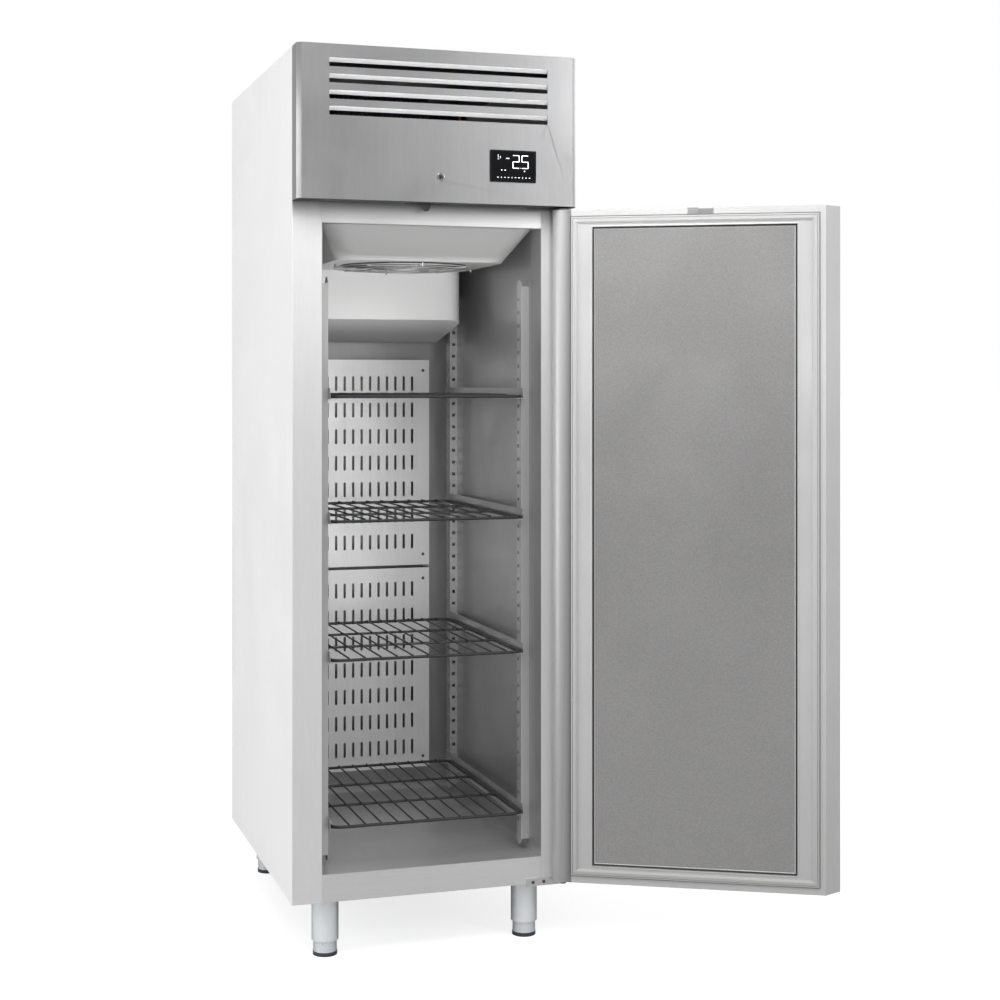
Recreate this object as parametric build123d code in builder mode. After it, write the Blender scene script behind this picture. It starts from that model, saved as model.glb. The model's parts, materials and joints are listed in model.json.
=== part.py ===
from build123d import *
import math
import os

# Bakery refrigerator: a tall single-door cabinet on four legs, with its cooling unit on top.
# Millimetres. X runs to the right, Y to the back, Z up; the origin is on the floor, below the
# middle of the cabinet's body. The door is drawn standing open, as it rests.

# Overall sizes of the cabinet
case_width = 650.0
case_depth = 805.0
total_height = 2030.0
leg_height = 133.0
front_overhang = 55.0
sheet = 1.0
seat_gap = 0.3

# Walls and the opening of the chamber
chamber_width = 500.0
opening_width = 514.0
throat_depth = 50.0
floor_wall = 62.0
opening_height = 1447.0
roof_wall = 62.0
back_wall = 62.0
header_sill = 46.0
foam_joint = 0.3
corner_round = 2.0
upper_flange = 20.0
cover_gap = 1.5
cover_lip = 46.0
vent_rows = 12

# Door
door_turn = 152.0
door_gap_above = 6.0
door_gap_below = 14.0
door_thickness = 48.0
door_side_gap = 1.0
free_edge_flat = 10.0
free_edge_bevel = 32.0
gasket_inset = 44.0
gasket_inset_ends = 15.0
gasket_width = 18.0
gasket_height = 6.7
gasket_round = 2.2
pan_inset = 94.0
pan_inset_ends = 40.0
pan_depth = 7.0
inlay_thickness = 2.4
inlay_gap = 4.0
inlay_round = 3.0
bead_width = 3.0
bead_height = 1.2

# Door hinges
hinge_inset = 25.0
hinge_pin_radius = 4.0
hinge_pin_length = 26.0
bush_radius = 7.0
bush_flange_radius = 9.0
bush_flange = 1.0
bush_pocket_gap = 2.0
running_fit = 0.05
bracket_thickness = 3.0
bracket_leaf_height = 17.5
bracket_leaf_left = 222.0
bracket_leaf_right = 310.0
bracket_screws = (237.0, 263.0)
bracket_round = 13.0
nut_radius = 7.0
nut_height = 5.0
screw_radius = 2.0
screw_head_radius = 4.0
screw_head_height = 1.6
flat_head_height = 0.6
duct_screw_length = 12.0

# Header flap
header_chamfer = 10.0
header_back_gap = 4.0
slot_width = 507.0
slot_height = 19.5
slot_pitch = 35.4
slot_first_drop = 30.5
slot_count = 4
fin_drop = 7.5
fin_depth = 13.0
fin_thickness = 1.5
fin_lip = 3.0
fin_lap = 2.0
frame_strip = 9.0
hinge_leaf = 1.5
flap_axis_drop = 3.0
flap_axis_lead = 1.0
flap_leaf_height = 26.0
flap_leaf_joint = 8.0
flap_plate_depth = 20.0
knuckle_radius = 2.4
knuckle_length = 60.0
flap_hinge_spread = 460.0

# Controller and lock
controller_width = 109.0
controller_height = 72.0
controller_left = 116.0
controller_lift = 52.0
controller_body_depth = 32.0
bezel_proud = 3.0
bezel_rim = 3.0
bezel_round = 2.0
window_thickness = 1.6
cutout_margin = 5.0
lock_lift = 58.0
lock_ring_radius = 9.5
lock_barrel_radius = 8.0
lock_plug_radius = 5.5
lock_barrel_depth = 30.0
lock_ring_proud = 2.0
lock_ring_round = 1.2
lock_nut_radius = 10.5
lock_nut_height = 4.0
key_width = 2.0
key_height = 7.0
key_depth = 8.0
tongue_reach = 79.0
tongue_width = 16.0
tongue_thickness = 3.0
tongue_tilt = 20.0
tongue_plane = 22.0
notch_depth = 17.0
notch_near = 14.0
notch_far = 44.0
tongue_clearance = 12.0
swing_gap = 15.0
swing_slot = 12.0
striker_half = 10.0
striker_thickness = 3.0
striker_depth = 3.5

# Legs
leg_side_inset = 88.0
leg_front_inset = 63.0
leg_back_inset = 48.0
sleeve_radius = 30.5
sleeve_bottom = 34.0
sleeve_cap = 3.0
foot_radius = 26.5
foot_pad_radius = 27.5
foot_pad_height = 9.0
foot_pad_round = 0.8
foot_inside = 50.0

# Rack posts, rails and shelves
post_width = 20.0
post_depth = 30.0
post_wall = 1.2
front_post_setback = 62.0
rear_post_setback = 645.0
post_low = 88.0
post_high = 1379.0
post_lobe = 15.0
notch_pitch = 31.25
first_notch = 118.75
notch_count = 40
notch_size = 8.0
hook_height = 12.0
hook_size = 5.0
hook_reach = 3.0
shelf_notches = (1, 13, 23, 32)
rail_ledge = 18.0
rail_web = 23.0
rail_front_setback = 46.0
rail_length = 632.0
rail_tab_length = 4.0
rail_tab_height = 14.0
rail_tab_lift = 3.0
shelf_depth = 600.0
shelf_setback = 38.0
shelf_side_gap = 1.3
rim_rod_radius = 3.5
cross_rod_radius = 3.0
wire_radius = 2.0
wire_sink = 1.5
wire_count = 11
rim_corner = 22.0

# Ceiling housing, fan, guard and rear air box
housing_height = 74.0
housing_wall = 1.2
housing_top_setback = 15.0
housing_low_setback = 85.0
housing_depth = 448.0
housing_top_width = 496.0
housing_low_width = 400.0
housing_corner = 42.0
fan_setback = 262.0
fan_radius = 146.0
fan_hole_radius = 152.0
fan_hub_radius = 40.0
fan_hub_height = 24.0
fan_blades = 5
fan_shaft_radius = 4.0
fan_shaft_setback = 2.0
fan_clearance = 8.0
blade_chord_share = 0.42
blade_root_share = 0.7
blade_thickness = 2.0
evaporator_blade_pitch = 24.0
evaporator_motor_radius = 44.0
evaporator_motor_height = 40.0
motor_round = 4.0
guard_radius = 168.0
guard_drop = 13.0
guard_rings = 6
guard_wire = 3.6
guard_spokes = 8
air_box_setback = 450.0
air_box_width = 412.0
air_box_front_drop = 196.0
air_box_back_drop = 247.0
air_box_slope_end = 690.0
air_box_corner = 38.0
evaporator_side_gap = 40.0
evaporator_depth = 90.0
evaporator_setback = 50.0
evaporator_lift = 30.0
evaporator_fins = 21
evaporator_tube_end = 10.0
evaporator_tube_rise = 50.0
evaporator_tube_spread = 40.0

# Rear duct panels
duct_setback = 690.0
duct_width = 370.0
duct_sheet = 1.2
upper_duct_low = 669.0
upper_duct_high = 1215.0
lower_duct_low = 130.0
lower_duct_high = 661.0
duct_slot_width = 6.5
duct_slot_height = 39.0
duct_slot_pitch = 23.0
duct_row_pitch = 70.0
duct_columns = 13
duct_rows = 7
duct_screw_inset = 34.0
duct_screw_drop = 56.0
drain_radius = 8.0
drain_x = -150.0
drain_from_back = 20.0
drain_wall = 1.5
drain_end_lift = 20.0

# Cooling unit on the deck
coil_width = 300.0
coil_height = 240.0
coil_depth = 60.0
coil_lift = 10.0
coil_setback = 70.0
coil_x = -140.0
coil_fins = 26
coil_fin = 1.5
coil_fin_margin = 10.0
coil_fin_inset = 2.0
coil_tube_radius = 5.0
coil_tube_rows = 5
coil_tube_pitch = 45.0
coil_tube_spread = 20.0
coil_end_plate = 2.0
shroud_depth = 20.0
shroud_wall = 1.5
shroud_face = 2.0
shroud_hole = 98.0
condenser_fan_radius = 93.0
condenser_hub_radius = 30.0
condenser_hub_height = 22.0
condenser_blade_pitch = 26.0
condenser_rotor_gap = 8.0
condenser_motor_gap = 3.0
condenser_motor_radius = 38.0
condenser_motor_length = 60.0
motor_stand_width = 40.0
motor_stand_lap = 4.0
motor_foot_width = 60.0
motor_foot_depth = 50.0
compressor_x = 165.0
compressor_y = -60.0
compressor_tall = 190.0
compressor_plate_width = 230.0
compressor_plate_depth = 160.0
compressor_plate_round = 12.0
can_half_width = 75.0
can_half_depth = 60.0
can_round = 26.0
terminal_width = 70.0
terminal_depth = 40.0
terminal_height = 60.0
terminal_lift = 70.0
terminal_shift = 20.0
terminal_lead = 70.0
grommet_span_x = 200.0
grommet_span_y = 130.0
grommet_height = 14.0
grommet_radius = 12.0
grommet_head = 4.0
base_plate = 3.0
line_radius = 4.0
line_bend = 15.0
line_arch = 40.0
line_end_inset = 100.0
drier_radius = 10.0
drier_length = 90.0
drier_offset = 50.0
box_width = 160.0
box_depth = 90.0
box_height = 130.0
box_inset = 30.0
box_round = 5.0
box_lid = 2.0
box_lid_margin = 10.0
gland_inset = 80.0
gland_lift = 20.0
gland_radius = 12.0
gland_thread_radius = 8.0
gland_bore_radius = 5.0
gland_flange = 2.0
gland_nut = 4.0
tray_width = 320.0
tray_depth = 130.0
tray_height = 32.0
tray_drop = 10.0
tray_round = 14.0
tray_wall = 2.0
tray_hanger_reach = 20.0
tray_hanger_width = 40.0
tray_shift = 30.0

# Places worked out from the sizes above
half_width = case_width / 2
front = -case_depth / 2
back = case_depth / 2
case_bottom = leg_height
chamber_floor = case_bottom + floor_wall
ceiling = chamber_floor + opening_height
header_bottom = ceiling + header_sill
deck_top = ceiling + roof_wall
chamber_half = chamber_width / 2
opening_half = opening_width / 2
chamber_back = back - back_wall
header_face = front - front_overhang
frame_flange = half_width - opening_half - 2 * sheet
mid_height = (case_bottom + total_height) / 2
inside_width = case_width - 2 * sheet
inside_depth = case_depth - 2 * sheet

gland_x = half_width - gland_inset
gland_z = deck_top + gland_lift
pin_x = half_width - hinge_inset
pin_y = front - front_overhang + door_thickness / 2
door_bottom = case_bottom + door_gap_below
door_top = header_bottom - door_gap_above
door_height = door_top - door_bottom
door_round = hinge_inset - door_side_gap
door_reach = pin_x + half_width - door_side_gap
turn = math.radians(door_turn)
door_along = (-math.cos(turn), -math.sin(turn), 0)
door_inward = (-math.sin(turn), math.cos(turn), 0)
door_plan = Plane(origin=(pin_x, pin_y, door_bottom), x_dir=door_along, z_dir=(0, 0, 1))


def inner_face(depth):
    """Plane parallel to the door's inner face, a depth inside it; X runs along the door, Y up."""
    away = door_thickness / 2 - depth
    origin = (pin_x + door_inward[0] * away, pin_y + door_inward[1] * away, 0)
    return Plane(origin=origin, x_dir=door_along, z_dir=door_inward)


def facing(y):
    """Vertical plane across the cabinet at y, looking out of its front."""
    return Plane(origin=(0, y, 0), x_dir=(1, 0, 0), z_dir=(0, -1, 0))


def sideways(x):
    """Vertical plane along the cabinet at x; X of the sketch runs to the back, Y up."""
    return Plane(origin=(x, 0, 0), x_dir=(0, 1, 0), z_dir=(1, 0, 0))


def save(piece, name):
    """Label one finished piece and write it as its own file."""
    piece.part.label = name
    export_step(piece.part, f"parts/{name}.step")


os.makedirs("parts", exist_ok=True)


# Outer skins: each side is one sheet folded round the front frame, and rounded at the fold
def side_panel(side):
    flange_x = side * (half_width - sheet - frame_flange / 2)
    narrow_x = side * (half_width - sheet - upper_flange / 2)
    with BuildPart() as panel:
        with BuildSketch(Plane.XY.offset(case_bottom)):
            with Locations((side * (half_width - sheet / 2), 0)):
                Rectangle(sheet, case_depth)
        extrude(amount=total_height - case_bottom)
        with BuildSketch(Plane.XY.offset(case_bottom)):
            with Locations((flange_x, front + sheet / 2)):
                Rectangle(frame_flange, sheet)
        extrude(amount=deck_top - case_bottom)
        with BuildSketch(Plane.XY.offset(deck_top)):
            with Locations((narrow_x, front + sheet / 2)):
                Rectangle(upper_flange, sheet)
        extrude(amount=total_height - deck_top - frame_strip)
        corner = (side * half_width, front, (case_bottom + deck_top) / 2)
        outer_edge = panel.edges().filter_by(Axis.Z).sort_by_distance(corner)[0]
        fillet(outer_edge, radius=corner_round)
    return panel


save(side_panel(-1), "left_side_panel")
save(side_panel(1), "right_side_panel")
with BuildPart() as back_panel:
    with BuildSketch(facing(back)):
        with Locations((0, mid_height)):
            Rectangle(inside_width, total_height - case_bottom)
        with Locations((0, (deck_top + total_height) / 2)):
            with GridLocations(0, slot_pitch / 2, 1, vent_rows):
                SlotOverall(slot_width - 2 * upper_flange, slot_height / 2, mode=Mode.SUBTRACT)
        with Locations((gland_x, gland_z)):
            Circle(gland_thread_radius + seat_gap, mode=Mode.SUBTRACT)
    extrude(amount=sheet)
save(back_panel, "back_panel")

with BuildPart() as front_top_rail:
    with BuildSketch(facing(front)):
        with Locations((0, (ceiling + sheet + deck_top) / 2)):
            Rectangle(opening_width + 2 * sheet, deck_top - ceiling - sheet)
    extrude(amount=-sheet)
save(front_top_rail, "front_top_rail")

with BuildPart() as front_bottom_rail:
    with BuildSketch(facing(front)):
        with Locations((0, (case_bottom + chamber_floor - sheet) / 2)):
            Rectangle(opening_width + 2 * sheet, floor_wall - sheet)
    extrude(amount=-sheet)
save(front_bottom_rail, "front_bottom_rail")


# The chamber in plan: straight walls, and a throat that widens to the front frame
def chamber_outline(grow, near, far):
    slope = (opening_half - chamber_half) / throat_depth
    mouth = opening_half + grow - slope * (near - front)
    side = chamber_half + grow
    throat = front + throat_depth
    return [(-mouth, near), (mouth, near), (side, throat), (side, far), (-side, far), (-side, throat)]


drain_y = chamber_back - drain_from_back
drain_clear = drain_radius + seat_gap
with BuildPart() as inner_liner:
    with BuildSketch(Plane.XY.offset(chamber_floor - sheet)):
        with BuildLine():
            Polyline(*chamber_outline(sheet, front, chamber_back + sheet), close=True)
        make_face()
    extrude(amount=opening_height + 2 * sheet)
    with BuildSketch(Plane.XY.offset(chamber_floor)):
        with BuildLine():
            Polyline(*chamber_outline(0, front, chamber_back), close=True)
        make_face()
    extrude(amount=opening_height, mode=Mode.SUBTRACT)
    with Locations((drain_x, drain_y, chamber_floor)):
        Hole(radius=drain_clear, depth=2 * sheet)
save(inner_liner, "inner_liner")

# Poured insulation, as five slabs: two sides, floor, roof and back
foam_front = front + sheet
foam_bottom = case_bottom + sheet
foam_top = deck_top - sheet
slab_front_x = chamber_outline(sheet, foam_front, back)[1][0]
slab_x = chamber_half + sheet
with BuildPart() as insulation_foam:
    with BuildSketch(Plane.XY.offset(foam_bottom)):
        with BuildLine():
            Polyline(
                (slab_front_x, foam_front),
                (slab_x, front + throat_depth),
                (slab_x, back - sheet),
                (half_width - sheet, back - sheet),
                (half_width - sheet, foam_front + corner_round),
                (half_width - sheet - corner_round, foam_front),
                close=True,
            )
        make_face()
        mirror(about=Plane.YZ)
    extrude(amount=foam_top - foam_bottom)
    with BuildSketch(Plane.XY.offset(foam_bottom)):
        with BuildLine():
            Polyline(*chamber_outline(sheet - foam_joint, foam_front, back - sheet), close=True)
        make_face()
        with Locations((drain_x, drain_y)):
            Circle(drain_clear, mode=Mode.SUBTRACT)
    extrude(amount=chamber_floor - sheet - foam_bottom)
    with BuildSketch(Plane.XY.offset(ceiling + sheet)):
        with BuildLine():
            Polyline(*chamber_outline(sheet - foam_joint, foam_front, back - sheet), close=True)
        make_face()
    extrude(amount=foam_top - ceiling - sheet)
    with BuildSketch(facing(back - sheet)):
        with Locations((0, (chamber_floor + ceiling) / 2)):
            Rectangle(2 * (slab_x - foam_joint), opening_height + 2 * (sheet - foam_joint))
    extrude(amount=back_wall - 2 * sheet)
save(insulation_foam, "insulation_foam")

with BuildPart() as bottom_panel:
    with BuildSketch(Plane.XY.offset(case_bottom)):
        Rectangle(inside_width, inside_depth)
        with Locations((drain_x, drain_y)):
            Circle(drain_clear, mode=Mode.SUBTRACT)
    extrude(amount=sheet)
save(bottom_panel, "bottom_panel")

with BuildPart() as compartment_deck:
    with BuildSketch(Plane.XY.offset(deck_top - sheet)):
        Rectangle(inside_width, inside_depth)
    extrude(amount=sheet)
save(compartment_deck, "compartment_deck")

cover_front = front + cover_gap
cover_lip_low = total_height - cover_lip
with BuildPart() as top_cover:
    with BuildSketch(Plane.XY.offset(total_height - sheet)):
        with Locations((0, (cover_front + back - sheet) / 2)):
            Rectangle(inside_width, back - sheet - cover_front)
    extrude(amount=sheet)
    with BuildSketch(facing(cover_front)):
        with Locations((0, (cover_lip_low + total_height) / 2)):
            Rectangle(inside_width - 2 * upper_flange, total_height - cover_lip_low)
    extrude(amount=-sheet)
save(top_cover, "top_cover")

# Ceiling housing: a tapered pan with a round fan opening in its floor
housing_low = ceiling - housing_height
fan_y = front + fan_setback


def housing_level(setback, width, inset):
    """Size and middle of the housing's outline at one level."""
    near = front + setback + inset
    far = front + housing_depth - inset
    return width - 2 * inset, far - near, (near + far) / 2


with BuildPart() as evaporator_housing:
    for inset, low, mode in ((0, 0, Mode.ADD), (housing_wall, housing_wall, Mode.SUBTRACT)):
        top = housing_level(housing_top_setback, housing_top_width, inset)
        bottom = housing_level(housing_low_setback, housing_low_width, inset)
        with BuildSketch(Plane.XY.offset(ceiling)):
            with Locations((0, top[2])):
                RectangleRounded(top[0], top[1], housing_corner - inset)
        with BuildSketch(Plane.XY.offset(housing_low + low)):
            with Locations((0, bottom[2])):
                RectangleRounded(bottom[0], bottom[1], housing_corner - inset)
        loft(mode=mode)
    with Locations((0, fan_y, housing_low)):
        Hole(radius=fan_hole_radius, depth=3 * housing_wall)
save(evaporator_housing, "evaporator_housing")


# Rear air box under the ceiling: straight front, sloping underside, rounded front corners
def air_box_body(inset):
    near = front + air_box_setback + inset
    low_front = ceiling - air_box_front_drop + inset
    low_back = ceiling - air_box_back_drop + inset
    slope_end = front + air_box_slope_end
    half = air_box_width / 2 - inset
    with BuildPart() as body:
        with BuildSketch(sideways(-half)):
            with BuildLine():
                Polyline(
                    (near, ceiling),
                    (near, low_front),
                    (slope_end, low_back),
                    (chamber_back, low_back),
                    (chamber_back, ceiling),
                    close=True,
                )
            make_face()
        extrude(amount=2 * half)
        uprights = body.edges().filter_by(Axis.Z).group_by(Axis.Y)[0]
        fillet(uprights, radius=air_box_corner - inset)
    return body.part


with BuildPart() as rear_air_box:
    add(air_box_body(0))
    add(air_box_body(housing_wall), mode=Mode.SUBTRACT)
    with Locations((drain_x, drain_y, ceiling - air_box_back_drop)):
        Hole(radius=drain_radius - drain_wall, depth=3 * housing_wall)
save(rear_air_box, "rear_air_box")

# Evaporator fan, hanging from the ceiling on its motor shaft
motor_low = ceiling - evaporator_motor_height
hub_low = housing_low + fan_clearance
with BuildPart() as evaporator_fan_motor:
    with BuildSketch(Plane.XY.offset(motor_low)):
        with Locations((0, fan_y)):
            Circle(evaporator_motor_radius)
    extrude(amount=ceiling - motor_low)
    fillet(evaporator_fan_motor.edges().group_by(Axis.Z)[0], radius=motor_round)
    with BuildSketch(Plane.XY.offset(hub_low + fan_shaft_setback)):
        with Locations((0, fan_y)):
            Circle(fan_shaft_radius)
    extrude(amount=motor_low - hub_low - fan_shaft_setback)
save(evaporator_fan_motor, "evaporator_fan_motor")


def fan_rotor(plane, radius, hub, height, pitch_angle):
    """Hub with a bore and flat pitched blades, turning about the plane's normal."""
    blade_chord = radius * blade_chord_share
    blade_root = hub * blade_root_share
    blade_span = radius - blade_root
    with BuildPart() as rotor:
        with BuildSketch(plane):
            Circle(hub)
        extrude(amount=height)
        with Locations(plane.offset(height / 2).location):
            with PolarLocations(blade_root + blade_span / 2, fan_blades):
                Box(blade_span, blade_chord, blade_thickness, rotation=(pitch_angle, 0, 0))
        with BuildSketch(plane.offset(-height)):
            Circle(fan_shaft_radius + running_fit)
        extrude(amount=3 * height, mode=Mode.SUBTRACT)
    return rotor


evaporator_fan_plane = Plane(origin=(0, fan_y, hub_low), x_dir=(1, 0, 0), z_dir=(0, 0, 1))
evaporator_fan = fan_rotor(
    evaporator_fan_plane, fan_radius, fan_hub_radius, fan_hub_height, evaporator_blade_pitch
)
save(evaporator_fan, "evaporator_fan")

guard_z = housing_low - guard_drop
ring_step = (guard_radius - fan_hub_radius) / guard_rings
with BuildPart() as fan_guard:
    with BuildSketch(Plane.XY.offset(guard_z)):
        with Locations((0, fan_y)):
            for ring in range(guard_rings):
                ring_radius = guard_radius - ring * ring_step
                Circle(ring_radius)
                Circle(ring_radius - guard_wire, mode=Mode.SUBTRACT)
            Circle(fan_hub_radius)
            with PolarLocations(guard_radius / 2, guard_spokes):
                Rectangle(guard_radius - guard_wire, guard_wire)
    extrude(amount=guard_wire)
    with BuildSketch(Plane.XY.offset(guard_z)):
        with Locations((0, fan_y)):
            with PolarLocations(guard_radius - guard_wire / 2, guard_spokes // 2):
                Circle(guard_wire)
    extrude(amount=guard_drop)
save(fan_guard, "fan_guard")

evaporator_low = ceiling - air_box_front_drop + evaporator_lift
evaporator_width = air_box_width - 2 * evaporator_side_gap
evaporator_y = front + air_box_setback + evaporator_setback + evaporator_depth / 2
evaporator_mid_z = (evaporator_low + ceiling) / 2
with BuildPart() as evaporator_coil:
    with Locations((0, evaporator_y, evaporator_mid_z)):
        with GridLocations(evaporator_width / (evaporator_fins - 1), 0, evaporator_fins, 1):
            Box(coil_fin, evaporator_depth, ceiling - evaporator_low)
    for step in (-1, 0, 1):
        with Locations((0, evaporator_y, evaporator_mid_z + step * evaporator_tube_rise)):
            with GridLocations(0, evaporator_tube_spread, 1, 2):
                Cylinder(coil_tube_radius, evaporator_width + 2 * evaporator_tube_end, rotation=(0, 90, 0))
save(evaporator_coil, "evaporator_coil")


# Rear duct panels: slotted covers standing off the back wall, folded back at both sides
def duct_panel(low, high):
    y = front + duct_setback
    middle = case_bottom + (low + high) / 2
    tall = high - low
    with BuildPart() as panel:
        with BuildSketch(facing(y)):
            with Locations((0, middle)):
                Rectangle(duct_width, tall)
                with GridLocations(duct_slot_pitch, duct_row_pitch, duct_columns, duct_rows):
                    SlotOverall(
                        duct_slot_height, duct_slot_width, rotation=90, mode=Mode.SUBTRACT
                    )
                with GridLocations(duct_width - duct_screw_inset, tall - duct_screw_drop, 2, 2):
                    Circle(screw_radius, mode=Mode.SUBTRACT)
        extrude(amount=-duct_sheet)
        side_x = (duct_width - duct_sheet) / 2
        with BuildSketch(facing(y + duct_sheet)):
            with Locations((-side_x, middle), (side_x, middle)):
                Rectangle(duct_sheet, tall)
        extrude(amount=-(chamber_back - y - duct_sheet))
    return panel


save(duct_panel(upper_duct_low, upper_duct_high), "upper_duct_panel")
save(duct_panel(lower_duct_low, lower_duct_high), "lower_duct_panel")

tray_z = case_bottom - tray_height - tray_drop
drain_end = tray_z + drain_end_lift
with BuildPart() as drain_pipe:
    with BuildSketch(Plane.XY.offset(drain_end)):
        with Locations((drain_x, drain_y)):
            Circle(drain_radius)
            Circle(drain_radius - drain_wall, mode=Mode.SUBTRACT)
    extrude(amount=ceiling - air_box_back_drop - drain_end)
save(drain_pipe, "drain_pipe")

tray_y = drain_y - tray_depth / 2 + tray_shift
hanger_x = (tray_width + tray_hanger_reach) / 2
hanger_end = (tray_width - tray_wall) / 2 + tray_hanger_reach
hanger_low = tray_z + tray_height - tray_wall
with BuildPart() as evaporation_tray:
    with BuildSketch(Plane.XY.offset(tray_z)):
        with Locations((0, tray_y)):
            RectangleRounded(tray_width, tray_depth, tray_round)
    extrude(amount=tray_height)
    with BuildSketch(Plane.XY.offset(tray_z + tray_wall)):
        with Locations((0, tray_y)):
            RectangleRounded(tray_width - 2 * tray_wall, tray_depth - 2 * tray_wall, tray_round - tray_wall)
    extrude(amount=tray_height, mode=Mode.SUBTRACT)
    for side in (-1, 1):
        with BuildSketch(Plane.XY.offset(hanger_low)):
            with Locations((side * (hanger_x - tray_wall / 2), tray_y)):
                Rectangle(tray_hanger_reach + tray_wall, tray_hanger_width)
        extrude(amount=tray_wall)
        with BuildSketch(Plane.XY.offset(hanger_low)):
            with Locations((side * hanger_end, tray_y)):
                Rectangle(tray_wall, tray_hanger_width)
        extrude(amount=case_bottom - hanger_low)
save(evaporation_tray, "evaporation_tray")


# Rack posts: channels open to the wall, with a row of notches for the guide rails
def rack_posts(setback, notch_front_leg):
    near = front + setback
    inner_x = chamber_half - post_width
    low = case_bottom + post_low
    tall = post_high - post_low
    notch_middle = case_bottom + first_notch + hook_height + notch_pitch * (notch_count - 1) / 2
    notch_y = near + post_depth - notch_size
    with BuildPart() as posts:
        for side in (-1, 1):
            with BuildSketch(Plane.XY.offset(low)):
                with Locations((side * (inner_x + post_width / 2), near + post_depth / 2)):
                    Rectangle(post_width, post_depth)
                with Locations((side * (inner_x + post_width / 2 + post_wall), near + post_depth / 2)):
                    Rectangle(post_width, post_depth - 2 * post_wall, mode=Mode.SUBTRACT)
            extrude(amount=tall)
            with BuildSketch(sideways(side * inner_x)):
                with Locations((near + post_depth / 2, low + tall / 2)):
                    SlotOverall(tall + 2 * post_lobe, post_depth, rotation=90)
            extrude(amount=side * post_wall)
            with BuildSketch(sideways(side * (inner_x - post_wall))):
                with Locations((notch_y, notch_middle)):
                    with GridLocations(0, notch_pitch, 1, notch_count):
                        Rectangle(notch_size, notch_size)
            extrude(amount=side * 3 * post_wall, mode=Mode.SUBTRACT)
        if notch_front_leg:
            with BuildSketch(facing(near - post_wall)):
                for side in (-1, 1):
                    with Locations((side * (inner_x + post_width / 2), notch_middle)):
                        with GridLocations(0, notch_pitch, 1, notch_count):
                            Rectangle(notch_size, notch_size)
            extrude(amount=-3 * post_wall, mode=Mode.SUBTRACT)
    return posts


save(rack_posts(front_post_setback, False), "front_rack_posts")
save(rack_posts(rear_post_setback, True), "rear_rack_posts")


# Guide rails: an upright web on the posts, a ledge under the shelf and two hooks in the notches
def guide_rails(side):
    post_face = chamber_half - post_width
    web_x = side * (post_face - post_wall / 2)
    near = front + rail_front_setback
    with BuildPart() as rails:
        for notch in shelf_notches:
            level = case_bottom + first_notch + notch * notch_pitch
            with BuildSketch(facing(near)):
                with Locations((web_x, level + (rail_web - post_wall) / 2)):
                    Rectangle(post_wall, rail_web + post_wall)
                with Locations((side * (post_face - rail_ledge / 2), level - post_wall / 2)):
                    Rectangle(rail_ledge, post_wall)
            extrude(amount=-rail_length)
            for setback in (front_post_setback, rear_post_setback):
                hook_y = front + setback + post_depth - notch_size
                with Locations((side * (post_face + hook_reach / 2), hook_y, level + hook_height)):
                    Box(hook_reach, hook_size, hook_size)
            with Locations((web_x, near - rail_tab_length / 4, level + rail_tab_lift)):
                Box(post_wall, rail_tab_length, rail_tab_height)
    return rails


save(guide_rails(-1), "left_guide_rails")
save(guide_rails(1), "right_guide_rails")

# Wire shelves: a closed rim rod, two cross rods and the long wires on top of them
shelf_half = chamber_half - post_width - post_wall - shelf_side_gap
shelf_near = front + shelf_setback
rim_x = shelf_half - rim_rod_radius
rim_near = shelf_near + rim_rod_radius
rim_length = shelf_depth - 2 * rim_rod_radius
rim_far = rim_near + rim_length
for number, notch in enumerate(shelf_notches, start=1):
    level = case_bottom + first_notch + notch * notch_pitch
    rod_z = level + seat_gap + rim_rod_radius
    with BuildPart() as wire_shelf:
        with BuildLine():
            rim = FilletPolyline(
                (rim_x, rim_near, rod_z),
                (rim_x, rim_far, rod_z),
                (-rim_x, rim_far, rod_z),
                (-rim_x, rim_near, rod_z),
                radius=rim_corner,
                close=True,
            )
        with BuildSketch(Plane(origin=rim @ 0, z_dir=rim % 0)):
            Circle(rim_rod_radius)
        sweep()
        with Locations((0, (rim_near + rim_far) / 2, rod_z)):
            with GridLocations(0, rim_length / 3, 1, 2):
                Cylinder(cross_rod_radius, 2 * rim_x, rotation=(0, 90, 0))
        with Locations((0, (rim_near + rim_far) / 2, rod_z + rim_rod_radius + wire_radius - wire_sink)):
            with GridLocations(2 * rim_x / (wire_count + 1), 0, wire_count, 1):
                Cylinder(wire_radius, rim_length, rotation=(90, 0, 0))
    save(wire_shelf, f"wire_shelf_{number}")


# Door, drawn in its own plan: X from the hinge pin to the free edge, Y towards the outer face
def door_outline(inset):
    half = door_thickness / 2 - inset
    reach = door_reach - inset
    rise = door_thickness - free_edge_flat
    slant = math.hypot(free_edge_bevel, rise)
    flat_y = door_thickness / 2 - free_edge_flat + inset * (slant - rise) / free_edge_bevel
    inner_end = door_reach - free_edge_bevel - inset * (slant - free_edge_bevel) / rise
    with BuildSketch() as outline:
        with BuildLine():
            Polyline((0, half), (reach, half), (reach, flat_y), (inner_end, -half), (0, -half))
            ThreePointArc((0, -half), (-half, 0), (0, half))
        make_face()
    return outline.sketch


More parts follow.
